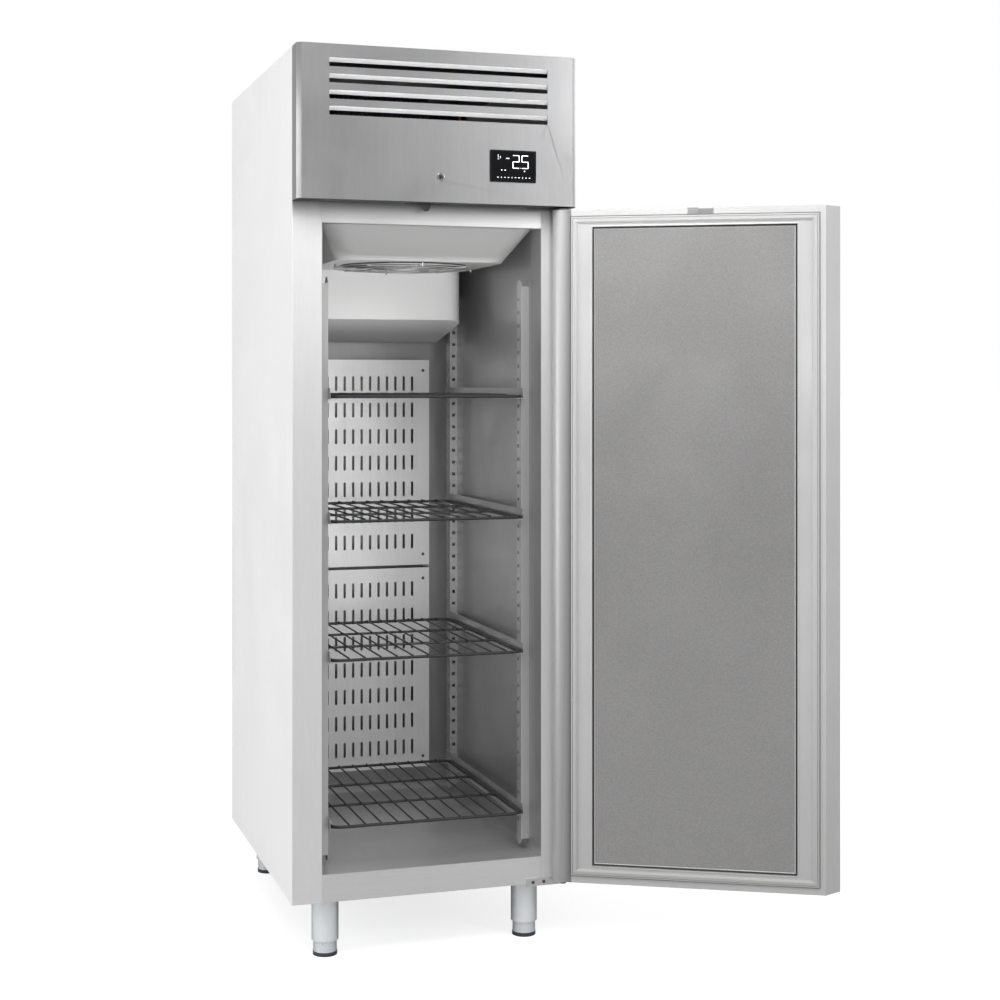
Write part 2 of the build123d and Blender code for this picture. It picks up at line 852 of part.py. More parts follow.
gasket_left = gasket_inset - door_round
gasket_right = door_reach - gasket_inset
gasket_low = door_bottom + gasket_inset_ends
gasket_high = door_top - gasket_inset_ends
seam_inset = gasket_width / 2
pan_left = pan_inset - door_round
pan_right = door_reach - pan_inset
pan_low = door_bottom + pan_inset_ends
pan_high = door_top - pan_inset_ends
door_middle = (gasket_left + gasket_right) / 2
door_mid_z = (door_bottom + door_top) / 2
window_width = gasket_right - gasket_left - 2 * seam_inset
window_height = gasket_high - gasket_low - 2 * seam_inset
pan_width = pan_right - pan_left
pan_height = pan_high - pan_low
notch_width = notch_near + notch_far
notch_middle = pin_x + (notch_far - notch_near) / 2
tongue_depth = front_overhang - door_thickness / 2 - tongue_plane
notch_reach = door_thickness / 2 - tongue_depth + tongue_clearance

notch_mid_depth = -door_thickness / 2 + notch_reach / 2


def lock_notch():
    """Solid that clears the lock tongue in the top of the door."""
    with BuildPart() as cutter:
        with BuildSketch(door_plan.offset(door_height - notch_depth)):
            with Locations((notch_middle, notch_mid_depth)):
                Rectangle(notch_width, notch_reach)
        extrude(amount=notch_depth)
    return cutter.part


with BuildPart() as door_outer_shell:
    with BuildSketch(door_plan):
        add(door_outline(0))
    extrude(amount=door_height)
    with BuildSketch(door_plan.offset(sheet)):
        add(door_outline(sheet))
    extrude(amount=door_height - 2 * sheet, mode=Mode.SUBTRACT)
    with BuildSketch(inner_face(0)):
        with Locations((door_middle, door_mid_z)):
            Rectangle(window_width, window_height)
    extrude(amount=-sheet, mode=Mode.SUBTRACT)
    with BuildSketch(door_plan):
        Circle(bush_radius + seat_gap)
    extrude(amount=door_height, mode=Mode.SUBTRACT)
    add(lock_notch(), mode=Mode.SUBTRACT)
save(door_outer_shell, "door_outer_shell")

bush_depth = hinge_pin_length + bush_pocket_gap
with BuildPart() as door_foam:
    with BuildSketch(door_plan.offset(sheet)):
        add(door_outline(sheet))
    extrude(amount=door_height - 2 * sheet)
    with BuildSketch(inner_face(0)):
        with Locations((door_middle, door_mid_z)):
            Rectangle(pan_width + 2 * sheet, pan_height + 2 * sheet)
    extrude(amount=-pan_depth, mode=Mode.SUBTRACT)
    for end in (0, door_height - bush_depth):
        with BuildSketch(door_plan.offset(end)):
            Circle(bush_radius + seat_gap)
        extrude(amount=bush_depth, mode=Mode.SUBTRACT)
    add(lock_notch(), mode=Mode.SUBTRACT)
save(door_foam, "door_foam")

with BuildPart() as door_inner_frame:
    with BuildSketch(inner_face(0)):
        with Locations((door_middle, door_mid_z)):
            Rectangle(window_width, window_height)
    extrude(amount=-sheet)
    with BuildSketch(inner_face(0)):
        with Locations((door_middle, door_mid_z)):
            Rectangle(pan_width + 2 * sheet, pan_height + 2 * sheet)
    extrude(amount=-pan_depth)
    with BuildSketch(inner_face(0)):
        with Locations((door_middle, door_mid_z)):
            Rectangle(pan_width + 2 * bead_width, pan_height + 2 * bead_width)
    extrude(amount=bead_height)
    with BuildSketch(inner_face(-bead_height)):
        with Locations((door_middle, door_mid_z)):
            Rectangle(pan_width, pan_height)
    extrude(amount=-(pan_depth + bead_height - sheet), mode=Mode.SUBTRACT)
save(door_inner_frame, "door_inner_frame")

with BuildPart() as door_inner_panel:
    with BuildSketch(inner_face(pan_depth - sheet)):
        with Locations((door_middle, door_mid_z)):
            RectangleRounded(pan_width - 2 * inlay_gap, pan_height - 2 * inlay_gap, inlay_round)
    extrude(amount=inlay_thickness)
save(door_inner_panel, "door_inner_panel")

with BuildPart() as door_gasket:
    with BuildSketch(inner_face(0)):
        with Locations((door_middle, door_mid_z)):
            Rectangle(gasket_right - gasket_left, gasket_high - gasket_low)
            Rectangle(
                gasket_right - gasket_left - 2 * gasket_width,
                gasket_high - gasket_low - 2 * gasket_width,
                mode=Mode.SUBTRACT,
            )
    extrude(amount=gasket_height)
    inward_axis = Axis(origin=(pin_x, pin_y, 0), direction=door_inward)
    sealing_face = door_gasket.faces().sort_by(inward_axis)[-1]
    fillet(sealing_face.edges(), radius=gasket_round)
save(door_gasket, "door_gasket")

# Striker pocket in the top of the door: the tongue hooks behind its front wall
striker_left = pin_x - notch_near
striker_right = pin_x + striker_half
with BuildPart() as door_striker:
    with BuildSketch(door_plan.offset(door_height - notch_depth)):
        with Locations((notch_middle, notch_mid_depth)):
            Rectangle(notch_width, notch_reach)
    extrude(amount=notch_depth)
    with BuildSketch(door_plan.offset(door_height - notch_depth + sheet)):
        with Locations((notch_middle, notch_mid_depth - sheet)):
            Rectangle(notch_width - 2 * sheet, notch_reach)
    extrude(amount=notch_depth, mode=Mode.SUBTRACT)
    with BuildSketch(door_plan.offset(door_height - notch_depth)):
        with Locations(((striker_left + striker_right) / 2, striker_depth - door_thickness / 2)):
            Rectangle(striker_right - striker_left, striker_thickness)
    extrude(amount=notch_depth)
save(door_striker, "door_striker")

pin_bore = hinge_pin_radius + running_fit
with BuildPart() as hinge_bushes:
    for end, direction in ((0, 1), (door_height, -1)):
        with BuildSketch(door_plan.offset(end)):
            Circle(bush_radius)
            Circle(pin_bore, mode=Mode.SUBTRACT)
        extrude(amount=direction * hinge_pin_length)
        with BuildSketch(door_plan.offset(end)):
            Circle(bush_flange_radius)
            Circle(pin_bore, mode=Mode.SUBTRACT)
        extrude(amount=-direction * bush_flange)
save(hinge_bushes, "hinge_bushes")


# Hinge brackets: a leaf on the front frame and an arm that carries the pin
def hinge_bracket(arm_near, direction):
    """Arm between arm_near and one thickness further from the door, direction up (+1) or down."""
    arm_low = min(arm_near, arm_near + direction * bracket_thickness)
    leaf_middle = arm_near + direction * bracket_leaf_height / 2
    arm_far = pin_x + bracket_round
    with BuildPart() as bracket:
        with BuildSketch(facing(front)):
            with Locations(((bracket_leaf_left + bracket_leaf_right) / 2, leaf_middle)):
                Rectangle(bracket_leaf_right - bracket_leaf_left, bracket_leaf_height)
            with Locations(*[(x, leaf_middle) for x in bracket_screws]):
                Circle(screw_radius, mode=Mode.SUBTRACT)
        extrude(amount=bracket_thickness)
        with BuildSketch(Plane.XY.offset(arm_low)):
            with BuildLine():
                Polyline(
                    (pin_x - 2 * bracket_round, front),
                    (pin_x - bracket_round, pin_y),
                )
                ThreePointArc(
                    (pin_x - bracket_round, pin_y), (pin_x, pin_y - bracket_round), (arm_far, pin_y)
                )
                Polyline(
                    (arm_far, pin_y),
                    (bracket_leaf_right, front),
                    (pin_x - 2 * bracket_round, front),
                )
            make_face()
        extrude(amount=bracket_thickness)
        with BuildSketch(Plane.XY.offset(arm_near + direction * bracket_thickness / 2)):
            with Locations((pin_x, pin_y)):
                Circle(hinge_pin_radius)
        extrude(amount=-direction * (hinge_pin_length + bracket_thickness / 2))
    return bracket


upper_arm = door_top + bush_flange + seat_gap
lower_arm = door_bottom - bush_flange - seat_gap
save(hinge_bracket(upper_arm, 1), "upper_hinge_bracket")
save(hinge_bracket(lower_arm, -1), "lower_hinge_bracket")

# Screws of the hinge brackets and the duct panels, and the nut of the lower hinge pin; the upper
# bracket has flat heads, which clear the header
upper_leaf = upper_arm + bracket_leaf_height / 2
lower_leaf = lower_arm - bracket_leaf_height / 2
with BuildPart() as case_screws:
    for leaf_middle, head in ((upper_leaf, flat_head_height), (lower_leaf, screw_head_height)):
        with BuildSketch(facing(front - bracket_thickness)):
            with Locations(*[(x, leaf_middle) for x in bracket_screws]):
                Circle(screw_head_radius)
        extrude(amount=head)
        with BuildSketch(facing(front - bracket_thickness)):
            with Locations(*[(x, leaf_middle) for x in bracket_screws]):
                Circle(screw_radius - seat_gap)
        extrude(amount=-bracket_thickness)
    with BuildSketch(Plane.XY.offset(lower_arm - bracket_thickness)):
        with Locations((pin_x, pin_y)):
            RegularPolygon(nut_radius, 6)
    extrude(amount=-nut_height)
    for low, high in ((upper_duct_low, upper_duct_high), (lower_duct_low, lower_duct_high)):
        middle = case_bottom + (low + high) / 2
        rise = high - low - duct_screw_drop
        with BuildSketch(facing(front + duct_setback)):
            with Locations((0, middle)):
                with GridLocations(duct_width - duct_screw_inset, rise, 2, 2):
                    Circle(screw_head_radius)
        extrude(amount=screw_head_height)
        with BuildSketch(facing(front + duct_setback)):
            with Locations((0, middle)):
                with GridLocations(duct_width - duct_screw_inset, rise, 2, 2):
                    Circle(screw_radius - seat_gap)
        extrude(amount=-duct_screw_length)
save(case_screws, "case_screws")


# Header flap: a folded front with chamfered upright edges, open at the back
def header_outline(inset):
    side = half_width - inset
    shift = inset * math.tan(math.pi / 8)
    face = header_face + inset
    rear = front - header_back_gap + inset * 2
    bend_y = header_face + header_chamfer + shift
    bend_x = half_width - header_chamfer - shift
    left = [(-side, rear), (-side, bend_y), (-bend_x, face)]
    return left + [(bend_x, face), (side, bend_y), (side, rear)]


header_height = total_height - header_bottom
slots_middle = total_height - slot_first_drop - slot_height / 2 - slot_pitch * (slot_count - 1) / 2
lock_z = header_bottom + lock_lift
controller_x = controller_left + controller_width / 2
controller_z = header_bottom + controller_lift + controller_height / 2
swing_half = (notch_near + notch_far) / 2 + swing_gap
with BuildPart() as header_panel:
    with BuildSketch(Plane.XY.offset(header_bottom)):
        with BuildLine():
            Polyline(*header_outline(0), close=True)
        make_face()
    extrude(amount=header_height)
    with BuildSketch(Plane.XY.offset(header_bottom + sheet)):
        with BuildLine():
            Polyline(*header_outline(sheet), close=True)
        make_face()
    extrude(amount=header_height - 2 * sheet, mode=Mode.SUBTRACT)
    with BuildSketch(facing(header_face - sheet)):
        with Locations((0, slots_middle)):
            with GridLocations(0, slot_pitch, 1, slot_count):
                RectangleRounded(slot_width, slot_height, corner_round)
        with Locations((controller_x, controller_z)):
            Rectangle(controller_width - 2 * cutout_margin, controller_height - 2 * cutout_margin)
        with Locations((0, lock_z)):
            Circle(lock_barrel_radius)
    extrude(amount=-3 * sheet, mode=Mode.SUBTRACT)
    with BuildSketch(Plane.XY.offset(header_bottom - sheet)):
        with Locations((notch_near - swing_half, front - tongue_plane)):
            Rectangle(2 * swing_half, swing_slot)
    extrude(amount=3 * sheet, mode=Mode.SUBTRACT)
save(header_panel, "header_panel")

# Louvre fins: one slanted white strip behind the upper half of each slot, held by two end strips
frame_half = slot_width / 2 + frame_strip
frame_low = slots_middle - slot_pitch * (slot_count - 1) / 2 - slot_height
frame_high = slots_middle + slot_pitch * (slot_count - 1) / 2 + slot_height
fin_near = header_face + sheet
with BuildPart() as louvre_fins:
    for row in range(slot_count):
        slot_top = slots_middle + slot_pitch * (row - (slot_count - 1) / 2) + slot_height / 2
        with BuildSketch(sideways(-frame_half)):
            with BuildLine():
                Polyline(
                    (fin_near, slot_top + fin_lap),
                    (fin_near, slot_top + fin_lap - fin_lip),
                    (fin_near + fin_depth, slot_top - fin_drop),
                    (fin_near + fin_depth, slot_top - fin_drop + fin_thickness),
                    close=True,
                )
            make_face()
        extrude(amount=2 * frame_half)
    with Locations(
        (-frame_half + frame_strip / 4, fin_near + fin_depth / 2, (frame_low + frame_high) / 2),
        (frame_half - frame_strip / 4, fin_near + fin_depth / 2, (frame_low + frame_high) / 2),
    ):
        Box(frame_strip / 2, fin_depth, frame_high - frame_low)
save(louvre_fins, "louvre_fins")

with BuildPart() as controller_bezel:
    with BuildSketch(facing(header_face)):
        with Locations((controller_x, controller_z)):
            RectangleRounded(controller_width, controller_height, bezel_round)
    extrude(amount=bezel_proud)
    with BuildSketch(facing(header_face)):
        with Locations((controller_x, controller_z)):
            Rectangle(
                controller_width - 2 * cutout_margin - 2 * seat_gap,
                controller_height - 2 * cutout_margin - 2 * seat_gap,
            )
    extrude(amount=-controller_body_depth)
    with BuildSketch(facing(header_face - bezel_proud)):
        with Locations((controller_x, controller_z)):
            Rectangle(controller_width - 2 * bezel_rim, controller_height - 2 * bezel_rim)
    extrude(amount=-window_thickness, mode=Mode.SUBTRACT)
save(controller_bezel, "controller_bezel")

with BuildPart() as display_window:
    with BuildSketch(facing(header_face - bezel_proud + window_thickness)):
        with Locations((controller_x, controller_z)):
            Rectangle(
                controller_width - 2 * bezel_rim - 2 * seat_gap,
                controller_height - 2 * bezel_rim - 2 * seat_gap,
            )
    extrude(amount=window_thickness)
save(display_window, "display_window")

# Lock: a fixed barrel in the header, and a plug that turns with its tongue
lock_front = header_face - lock_ring_proud
with BuildPart() as lock_barrel:
    with BuildSketch(facing(header_face)):
        with Locations((0, lock_z)):
            Circle(lock_ring_radius)
    extrude(amount=lock_ring_proud)
    fillet(lock_barrel.edges().group_by(Axis.Y)[0], radius=lock_ring_round)
    with BuildSketch(facing(header_face)):
        with Locations((0, lock_z)):
            Circle(lock_barrel_radius - running_fit)
    extrude(amount=-lock_barrel_depth)
    with BuildSketch(facing(header_face + sheet)):
        with Locations((0, lock_z)):
            RegularPolygon(lock_nut_radius, 6)
    extrude(amount=-lock_nut_height)
    with BuildSketch(facing(lock_front)):
        with Locations((0, lock_z)):
            Circle(lock_plug_radius + running_fit)
    extrude(amount=-2 * lock_barrel_depth, mode=Mode.SUBTRACT)
save(lock_barrel, "lock_barrel")

tongue_near = front - tongue_plane - tongue_thickness / 2
tip_radius = tongue_width / 2
tilt = math.radians(tongue_tilt)
tip_x = -(tongue_reach - tip_radius) * math.sin(tilt)
tip_z = lock_z - (tongue_reach - tip_radius) * math.cos(tilt)
with BuildPart() as lock_cam:
    with BuildSketch(facing(lock_front)):
        with Locations((0, lock_z)):
            Circle(lock_plug_radius)
    extrude(amount=-(tongue_near + tongue_thickness - lock_front))
    with BuildSketch(facing(lock_front)):
        with Locations((0, lock_z)):
            Rectangle(key_width, key_height)
    extrude(amount=-key_depth, mode=Mode.SUBTRACT)
    with BuildSketch(facing(tongue_near)):
        with Locations((tip_x / 2, (tip_z + lock_z) / 2)):
            SlotCenterToCenter(tongue_reach - tip_radius, tongue_width, rotation=90 - tongue_tilt)
    extrude(amount=-tongue_thickness)
save(lock_cam, "lock_cam")


# Hinges of the header flap: fixed leaves behind the rear edge, moving leaves under the top fold
flap_axis_y = front - flap_axis_lead
flap_axis_z = total_height - flap_axis_drop
knuckle_bore = knuckle_radius / 2
leaf_span = knuckle_length / 3 - seat_gap
with BuildPart() as flap_hinge_fixed:
    for hinge_x in (-flap_hinge_spread / 2, flap_hinge_spread / 2):
        with Locations((hinge_x, flap_axis_y, flap_axis_z)):
            with Locations((-knuckle_length / 3, 0, 0), (knuckle_length / 3, 0, 0)):
                Cylinder(knuckle_radius, leaf_span, rotation=(0, 90, 0))
            Cylinder(knuckle_bore - running_fit, knuckle_length, rotation=(0, 90, 0))
        with Locations((hinge_x, front + cover_gap / 2, flap_axis_z - flap_leaf_height / 2)):
            with Locations((-knuckle_length / 3, 0, 0), (knuckle_length / 3, 0, 0)):
                Box(leaf_span, cover_gap, flap_leaf_height)
        leaf_middle = flap_axis_z - (flap_leaf_height + flap_leaf_joint) / 2
        with Locations((hinge_x, front + cover_gap / 2, leaf_middle)):
            Box(knuckle_length, cover_gap, flap_leaf_height - flap_leaf_joint)
save(flap_hinge_fixed, "flap_hinge_fixed")

leaf_top = total_height - sheet
leaf_far = front - 2 * header_back_gap
with BuildPart() as flap_hinge_moving:
    for hinge_x in (-flap_hinge_spread / 2, flap_hinge_spread / 2):
        with Locations((hinge_x, flap_axis_y, flap_axis_z)):
            Cylinder(knuckle_radius, leaf_span, rotation=(0, 90, 0))
        with Locations((hinge_x, (flap_axis_y + leaf_far) / 2, leaf_top - hinge_leaf / 2)):
            Box(leaf_span, flap_axis_y - leaf_far, hinge_leaf)
        with Locations((hinge_x, leaf_far - flap_plate_depth / 2, leaf_top - hinge_leaf / 2)):
            Box(knuckle_length, flap_plate_depth, hinge_leaf)
        with Locations((hinge_x, flap_axis_y, flap_axis_z)):
            Cylinder(knuckle_bore, knuckle_length, rotation=(0, 90, 0), mode=Mode.SUBTRACT)
save(flap_hinge_moving, "flap_hinge_moving")

# Condenser with its shroud, fan and motor, behind the header grille
coil_near = front + coil_setback
coil_mid_y = coil_near + coil_depth / 2
coil_mid_z = deck_top + coil_lift + coil_height / 2
frame_height = coil_height + coil_lift
frame_mid_z = deck_top + frame_height / 2
with BuildPart() as condenser_coil:
    with Locations((coil_x, coil_mid_y, coil_mid_z)):
        with GridLocations((coil_width - 2 * coil_fin_margin) / (coil_fins - 1), 0, coil_fins, 1):
            Box(coil_fin, coil_depth - 2 * coil_fin_inset, coil_height - 2 * coil_fin_inset)
    for row in range(coil_tube_rows):
        tube_z = coil_mid_z + (row - (coil_tube_rows - 1) / 2) * coil_tube_pitch
        with Locations((coil_x, coil_mid_y, tube_z)):
            with GridLocations(0, coil_tube_spread, 1, 2):
                Cylinder(coil_tube_radius, coil_width, rotation=(0, 90, 0))
    with Locations((coil_x, coil_mid_y, frame_mid_z)):
        with GridLocations(coil_width - 2 * coil_end_plate, 0, 2, 1):
            Box(coil_end_plate, coil_depth, frame_height)
save(condenser_coil, "condenser_coil")

shroud_near = coil_near + coil_depth
with BuildPart() as condenser_shroud:
    with BuildSketch(facing(shroud_near)):
        with Locations((coil_x, frame_mid_z)):
            Rectangle(coil_width, frame_height)
    extrude(amount=-shroud_depth)
    with BuildSketch(facing(shroud_near)):
        with Locations((coil_x, frame_mid_z)):
            Rectangle(coil_width - 2 * shroud_wall, frame_height - 2 * shroud_wall)
    extrude(amount=-(shroud_depth - shroud_face), mode=Mode.SUBTRACT)
    with BuildSketch(facing(shroud_near)):
        with Locations((coil_x, coil_mid_z)):
            Circle(shroud_hole)
    extrude(amount=-shroud_depth, mode=Mode.SUBTRACT)
save(condenser_shroud, "condenser_shroud")

rotor_far = shroud_near + shroud_depth + condenser_rotor_gap
condenser_fan_plane = Plane(origin=(coil_x, rotor_far, coil_mid_z), x_dir=(1, 0, 0), z_dir=(0, -1, 0))
condenser_fan = fan_rotor(
    condenser_fan_plane,
    condenser_fan_radius,
    condenser_hub_radius,
    condenser_hub_height,
    condenser_blade_pitch,
)
save(condenser_fan, "condenser_fan")

motor_near = rotor_far + condenser_motor_gap
stand_y = motor_near + condenser_motor_length / 2
stand_height = coil_mid_z - condenser_motor_radius + motor_stand_lap - deck_top
with BuildPart() as condenser_fan_motor:
    with BuildSketch(facing(motor_near)):
        with Locations((coil_x, coil_mid_z)):
            Circle(condenser_motor_radius)
    extrude(amount=-condenser_motor_length)
    fillet(condenser_fan_motor.edges().group_by(Axis.Y)[-1], radius=motor_round)
    with BuildSketch(facing(motor_near)):
        with Locations((coil_x, coil_mid_z)):
            Circle(fan_shaft_radius)
    extrude(amount=condenser_motor_gap + condenser_hub_height - fan_shaft_setback)
    with Locations((coil_x, stand_y, deck_top + stand_height / 2)):
        Box(motor_stand_width, base_plate, stand_height)
    with Locations((coil_x, stand_y, deck_top + base_plate / 2)):
        Box(motor_foot_width, motor_foot_depth, base_plate)
save(condenser_fan_motor, "condenser_fan_motor")

# Compressor: an oval can on a base plate, standing on four rubber grommets
plate_z = deck_top + grommet_height
can_z = plate_z + base_plate
can_top = plate_z + compressor_tall
with BuildPart() as compressor:
    with BuildSketch(Plane.XY.offset(plate_z)):
        with Locations((compressor_x, compressor_y)):
            RectangleRounded(compressor_plate_width, compressor_plate_depth, compressor_plate_round)
            with GridLocations(grommet_span_x, grommet_span_y, 2, 2):
                Circle(grommet_radius / 2, mode=Mode.SUBTRACT)
    extrude(amount=base_plate)
    with BuildSketch(Plane.XY.offset(can_z)):
        with Locations((compressor_x, compressor_y)):
            Ellipse(can_half_width, can_half_depth)
    extrude(amount=can_top - can_z)
    fillet(compressor.edges().group_by(Axis.Z)[-1], radius=can_round)
    with Locations((compressor_x + terminal_shift, compressor_y - terminal_lead, can_z + terminal_lift)):
        Box(terminal_width, terminal_depth, terminal_height)
save(compressor, "compressor")

with BuildPart() as compressor_grommets:
    with BuildSketch(Plane.XY.offset(deck_top)):
        with Locations((compressor_x, compressor_y)):
            with GridLocations(grommet_span_x, grommet_span_y, 2, 2):
                Circle(grommet_radius)
    extrude(amount=grommet_height)
    with BuildSketch(Plane.XY.offset(plate_z)):
        with Locations((compressor_x, compressor_y)):
            with GridLocations(grommet_span_x, grommet_span_y, 2, 2):
                Circle(grommet_radius / 2 - seat_gap)
    extrude(amount=base_plate + grommet_head)
save(compressor_grommets, "compressor_grommets")

# Refrigerant lines: delivery line to the condenser, and a liquid line with its filter drier
coil_right = coil_x + coil_width / 2
tube_reach = coil_tube_pitch * (coil_tube_rows - 1) / 2
top_tube_z = coil_mid_z + tube_reach
low_tube_z = coil_mid_z - tube_reach
tube_y = coil_mid_y - coil_tube_spread / 2
drier_x = coil_right + drier_offset
line_end_y = back - line_end_inset
with BuildPart() as refrigerant_lines:
    with BuildLine():
        delivery = FilletPolyline(
            (coil_right, tube_y, top_tube_z),
            (compressor_x, tube_y, top_tube_z),
            (compressor_x, compressor_y, top_tube_z + line_arch),
            (compressor_x, compressor_y, can_top),
            radius=line_bend,
        )
    with BuildSketch(Plane(origin=delivery @ 0, z_dir=delivery % 0)):
        Circle(line_radius)
    sweep()
    with BuildLine():
        liquid = FilletPolyline(
            (coil_right, tube_y, low_tube_z),
            (drier_x, tube_y, low_tube_z),
            (drier_x, line_end_y, low_tube_z),
            (drier_x, line_end_y, deck_top),
            radius=line_bend,
        )
    with BuildSketch(Plane(origin=liquid @ 0, z_dir=liquid % 0)):
        Circle(line_radius)
    sweep()
    with Locations((drier_x, 0, low_tube_z)):
        Cylinder(drier_radius, drier_length, rotation=(90, 0, 0))
save(refrigerant_lines, "refrigerant_lines")

# Electrical box on the deck at the rear, with the gland for the mains lead in the back panel
box_x = -half_width + box_inset + box_width / 2
box_y = back - box_inset - box_depth / 2
with BuildPart() as electrical_box:
    with Locations((box_x, box_y, deck_top + box_height / 2)):
        Box(box_width, box_depth, box_height)
    fillet(electrical_box.edges().filter_by(Axis.Z), radius=box_round)
    with Locations((box_x, box_y, deck_top + box_height + box_lid / 2)):
        Box(box_width - 2 * box_lid_margin, box_depth - 2 * box_lid_margin, box_lid)
save(electrical_box, "electrical_box")

with BuildPart() as cable_gland:
    with BuildSketch(facing(back)):
        with Locations((gland_x, gland_z)):
            RegularPolygon(gland_radius, 6)
    extrude(amount=-gland_flange)
    with BuildSketch(facing(back)):
        with Locations((gland_x, gland_z)):
            Circle(gland_thread_radius)
    extrude(amount=sheet + gland_nut)
    with BuildSketch(facing(back - sheet)):
        with Locations((gland_x, gland_z)):
            RegularPolygon(gland_radius, 6)
    extrude(amount=gland_nut)
    with BuildSketch(facing(back + gland_flange)):
        with Locations((gland_x, gland_z)):
            Circle(gland_bore_radius)
    extrude(amount=gland_flange + sheet + gland_nut, mode=Mode.SUBTRACT)
save(cable_gland, "cable_gland")

# Legs: sleeves fixed under the body, and feet that screw in and out of them
leg_places = {
    "foot_front_left": (-half_width + leg_side_inset, front + leg_front_inset),
    "foot_front_right": (half_width - leg_side_inset, front + leg_front_inset),
    "foot_rear_left": (-half_width + leg_side_inset, back - leg_back_inset),
    "foot_rear_right": (half_width - leg_side_inset, back - leg_back_inset),
}
sleeve_bore = foot_radius + seat_gap
with BuildPart() as leg_sleeves:
    with BuildSketch(Plane.XY.offset(sleeve_bottom)):
        with Locations(*leg_places.values()):
            Circle(sleeve_radius)
    extrude(amount=case_bottom - sleeve_bottom)
    with BuildSketch(Plane.XY.offset(sleeve_bottom)):
        with Locations(*leg_places.values()):
            Circle(sleeve_bore)
    extrude(amount=case_bottom - sleeve_bottom - sleeve_cap, mode=Mode.SUBTRACT)
save(leg_sleeves, "leg_sleeves")

for name, place in leg_places.items():
    with BuildPart() as foot:
        with BuildSketch(Plane.XY):
            with Locations(place):
                Circle(foot_pad_radius)
        extrude(amount=foot_pad_height)
        fillet(foot.edges().group_by(Axis.Z)[-1], radius=foot_pad_round)
        with BuildSketch(Plane.XY.offset(foot_pad_height)):
            with Locations(place):
                Circle(foot_radius)
        extrude(amount=sleeve_bottom + foot_inside - foot_pad_height)
    save(foot, name)
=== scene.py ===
import json
import math

import bmesh
import bpy
from bpy.props import FloatProperty, FloatVectorProperty, IntProperty, PointerProperty
from bpy.types import Operator, Panel, PropertyGroup
from mathutils import Matrix, Vector


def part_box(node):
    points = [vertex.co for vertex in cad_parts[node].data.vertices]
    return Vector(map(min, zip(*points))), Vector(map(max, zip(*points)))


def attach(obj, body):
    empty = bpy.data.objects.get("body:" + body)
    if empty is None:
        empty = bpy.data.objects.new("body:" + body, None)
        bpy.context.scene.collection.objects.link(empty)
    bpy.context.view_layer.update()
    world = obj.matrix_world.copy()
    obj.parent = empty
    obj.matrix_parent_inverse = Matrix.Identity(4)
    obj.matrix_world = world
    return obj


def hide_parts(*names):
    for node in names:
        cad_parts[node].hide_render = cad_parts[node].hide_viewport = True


bl_info = {
    "name": "Bakery Refrigerator Finishes",
    "version": (1, 0, 0),
    "blender": (4, 5, 0),
    "location": "3D View > Sidebar > Refrigerator",
    "description": "Finishes, small details, camera and light of a single-door bakery refrigerator",
    "category": "Object",
}

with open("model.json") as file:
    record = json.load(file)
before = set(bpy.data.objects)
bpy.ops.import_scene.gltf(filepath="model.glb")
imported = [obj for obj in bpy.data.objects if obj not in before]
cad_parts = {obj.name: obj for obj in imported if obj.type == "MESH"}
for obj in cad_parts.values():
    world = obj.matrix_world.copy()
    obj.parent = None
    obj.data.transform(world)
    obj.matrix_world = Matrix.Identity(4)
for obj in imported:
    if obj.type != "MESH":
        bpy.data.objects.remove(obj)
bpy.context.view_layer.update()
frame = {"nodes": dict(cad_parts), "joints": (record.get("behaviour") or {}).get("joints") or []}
nodes = frame["nodes"]
mm = 0.001


# Settings that a user would change

class FinishColours(PropertyGroup):
    """Base colours of the large finishes."""

    side: FloatVectorProperty(
        name="Side skins", description="Satin steel of the two sides", default=(0.74, 0.735, 0.738),
        subtype="COLOR", min=0, max=1,
    )
    front: FloatVectorProperty(
        name="Front frame", description="Satin steel round the door opening", default=(0.5, 0.5, 0.5),
        subtype="COLOR", min=0, max=1,
    )
    header: FloatVectorProperty(
        name="Header", description="Brushed steel of the header flap", default=(0.29, 0.29, 0.294),
        subtype="COLOR", min=0, max=1,
    )
    door: FloatVectorProperty(
        name="Door", description="Satin steel of the door's skin and inner frame",
        default=(0.66, 0.66, 0.66), subtype="COLOR", min=0, max=1,
    )
    inlay: FloatVectorProperty(
        name="Door inlay", description="Stucco sheet inside the door", default=(0.33, 0.325, 0.323),
        subtype="COLOR", min=0, max=1,
    )
    liner: FloatVectorProperty(
        name="Chamber", description="Satin steel of the chamber", default=(0.5, 0.5, 0.5),
        subtype="COLOR", min=0, max=1,
    )
    housing: FloatVectorProperty(
        name="Fan housing", description="Pale plastic below the chamber's ceiling",
        default=(0.45, 0.45, 0.447), subtype="COLOR", min=0, max=1,
    )
    shelf: FloatVectorProperty(
        name="Shelf coating", description="Dark coating of the wire shelves", default=(0.02, 0.02, 0.021),
        subtype="COLOR", min=0, max=1,
    )
    gasket: FloatVectorProperty(
        name="Gasket", description="Soft grey seal round the door", default=(0.5, 0.5, 0.495),
        subtype="COLOR", min=0, max=1,
    )
    display: FloatVectorProperty(
        name="Display glow", description="Light of the figures in the display", default=(0.95, 0.97, 1.0),
        subtype="COLOR", min=0, max=1,
    )


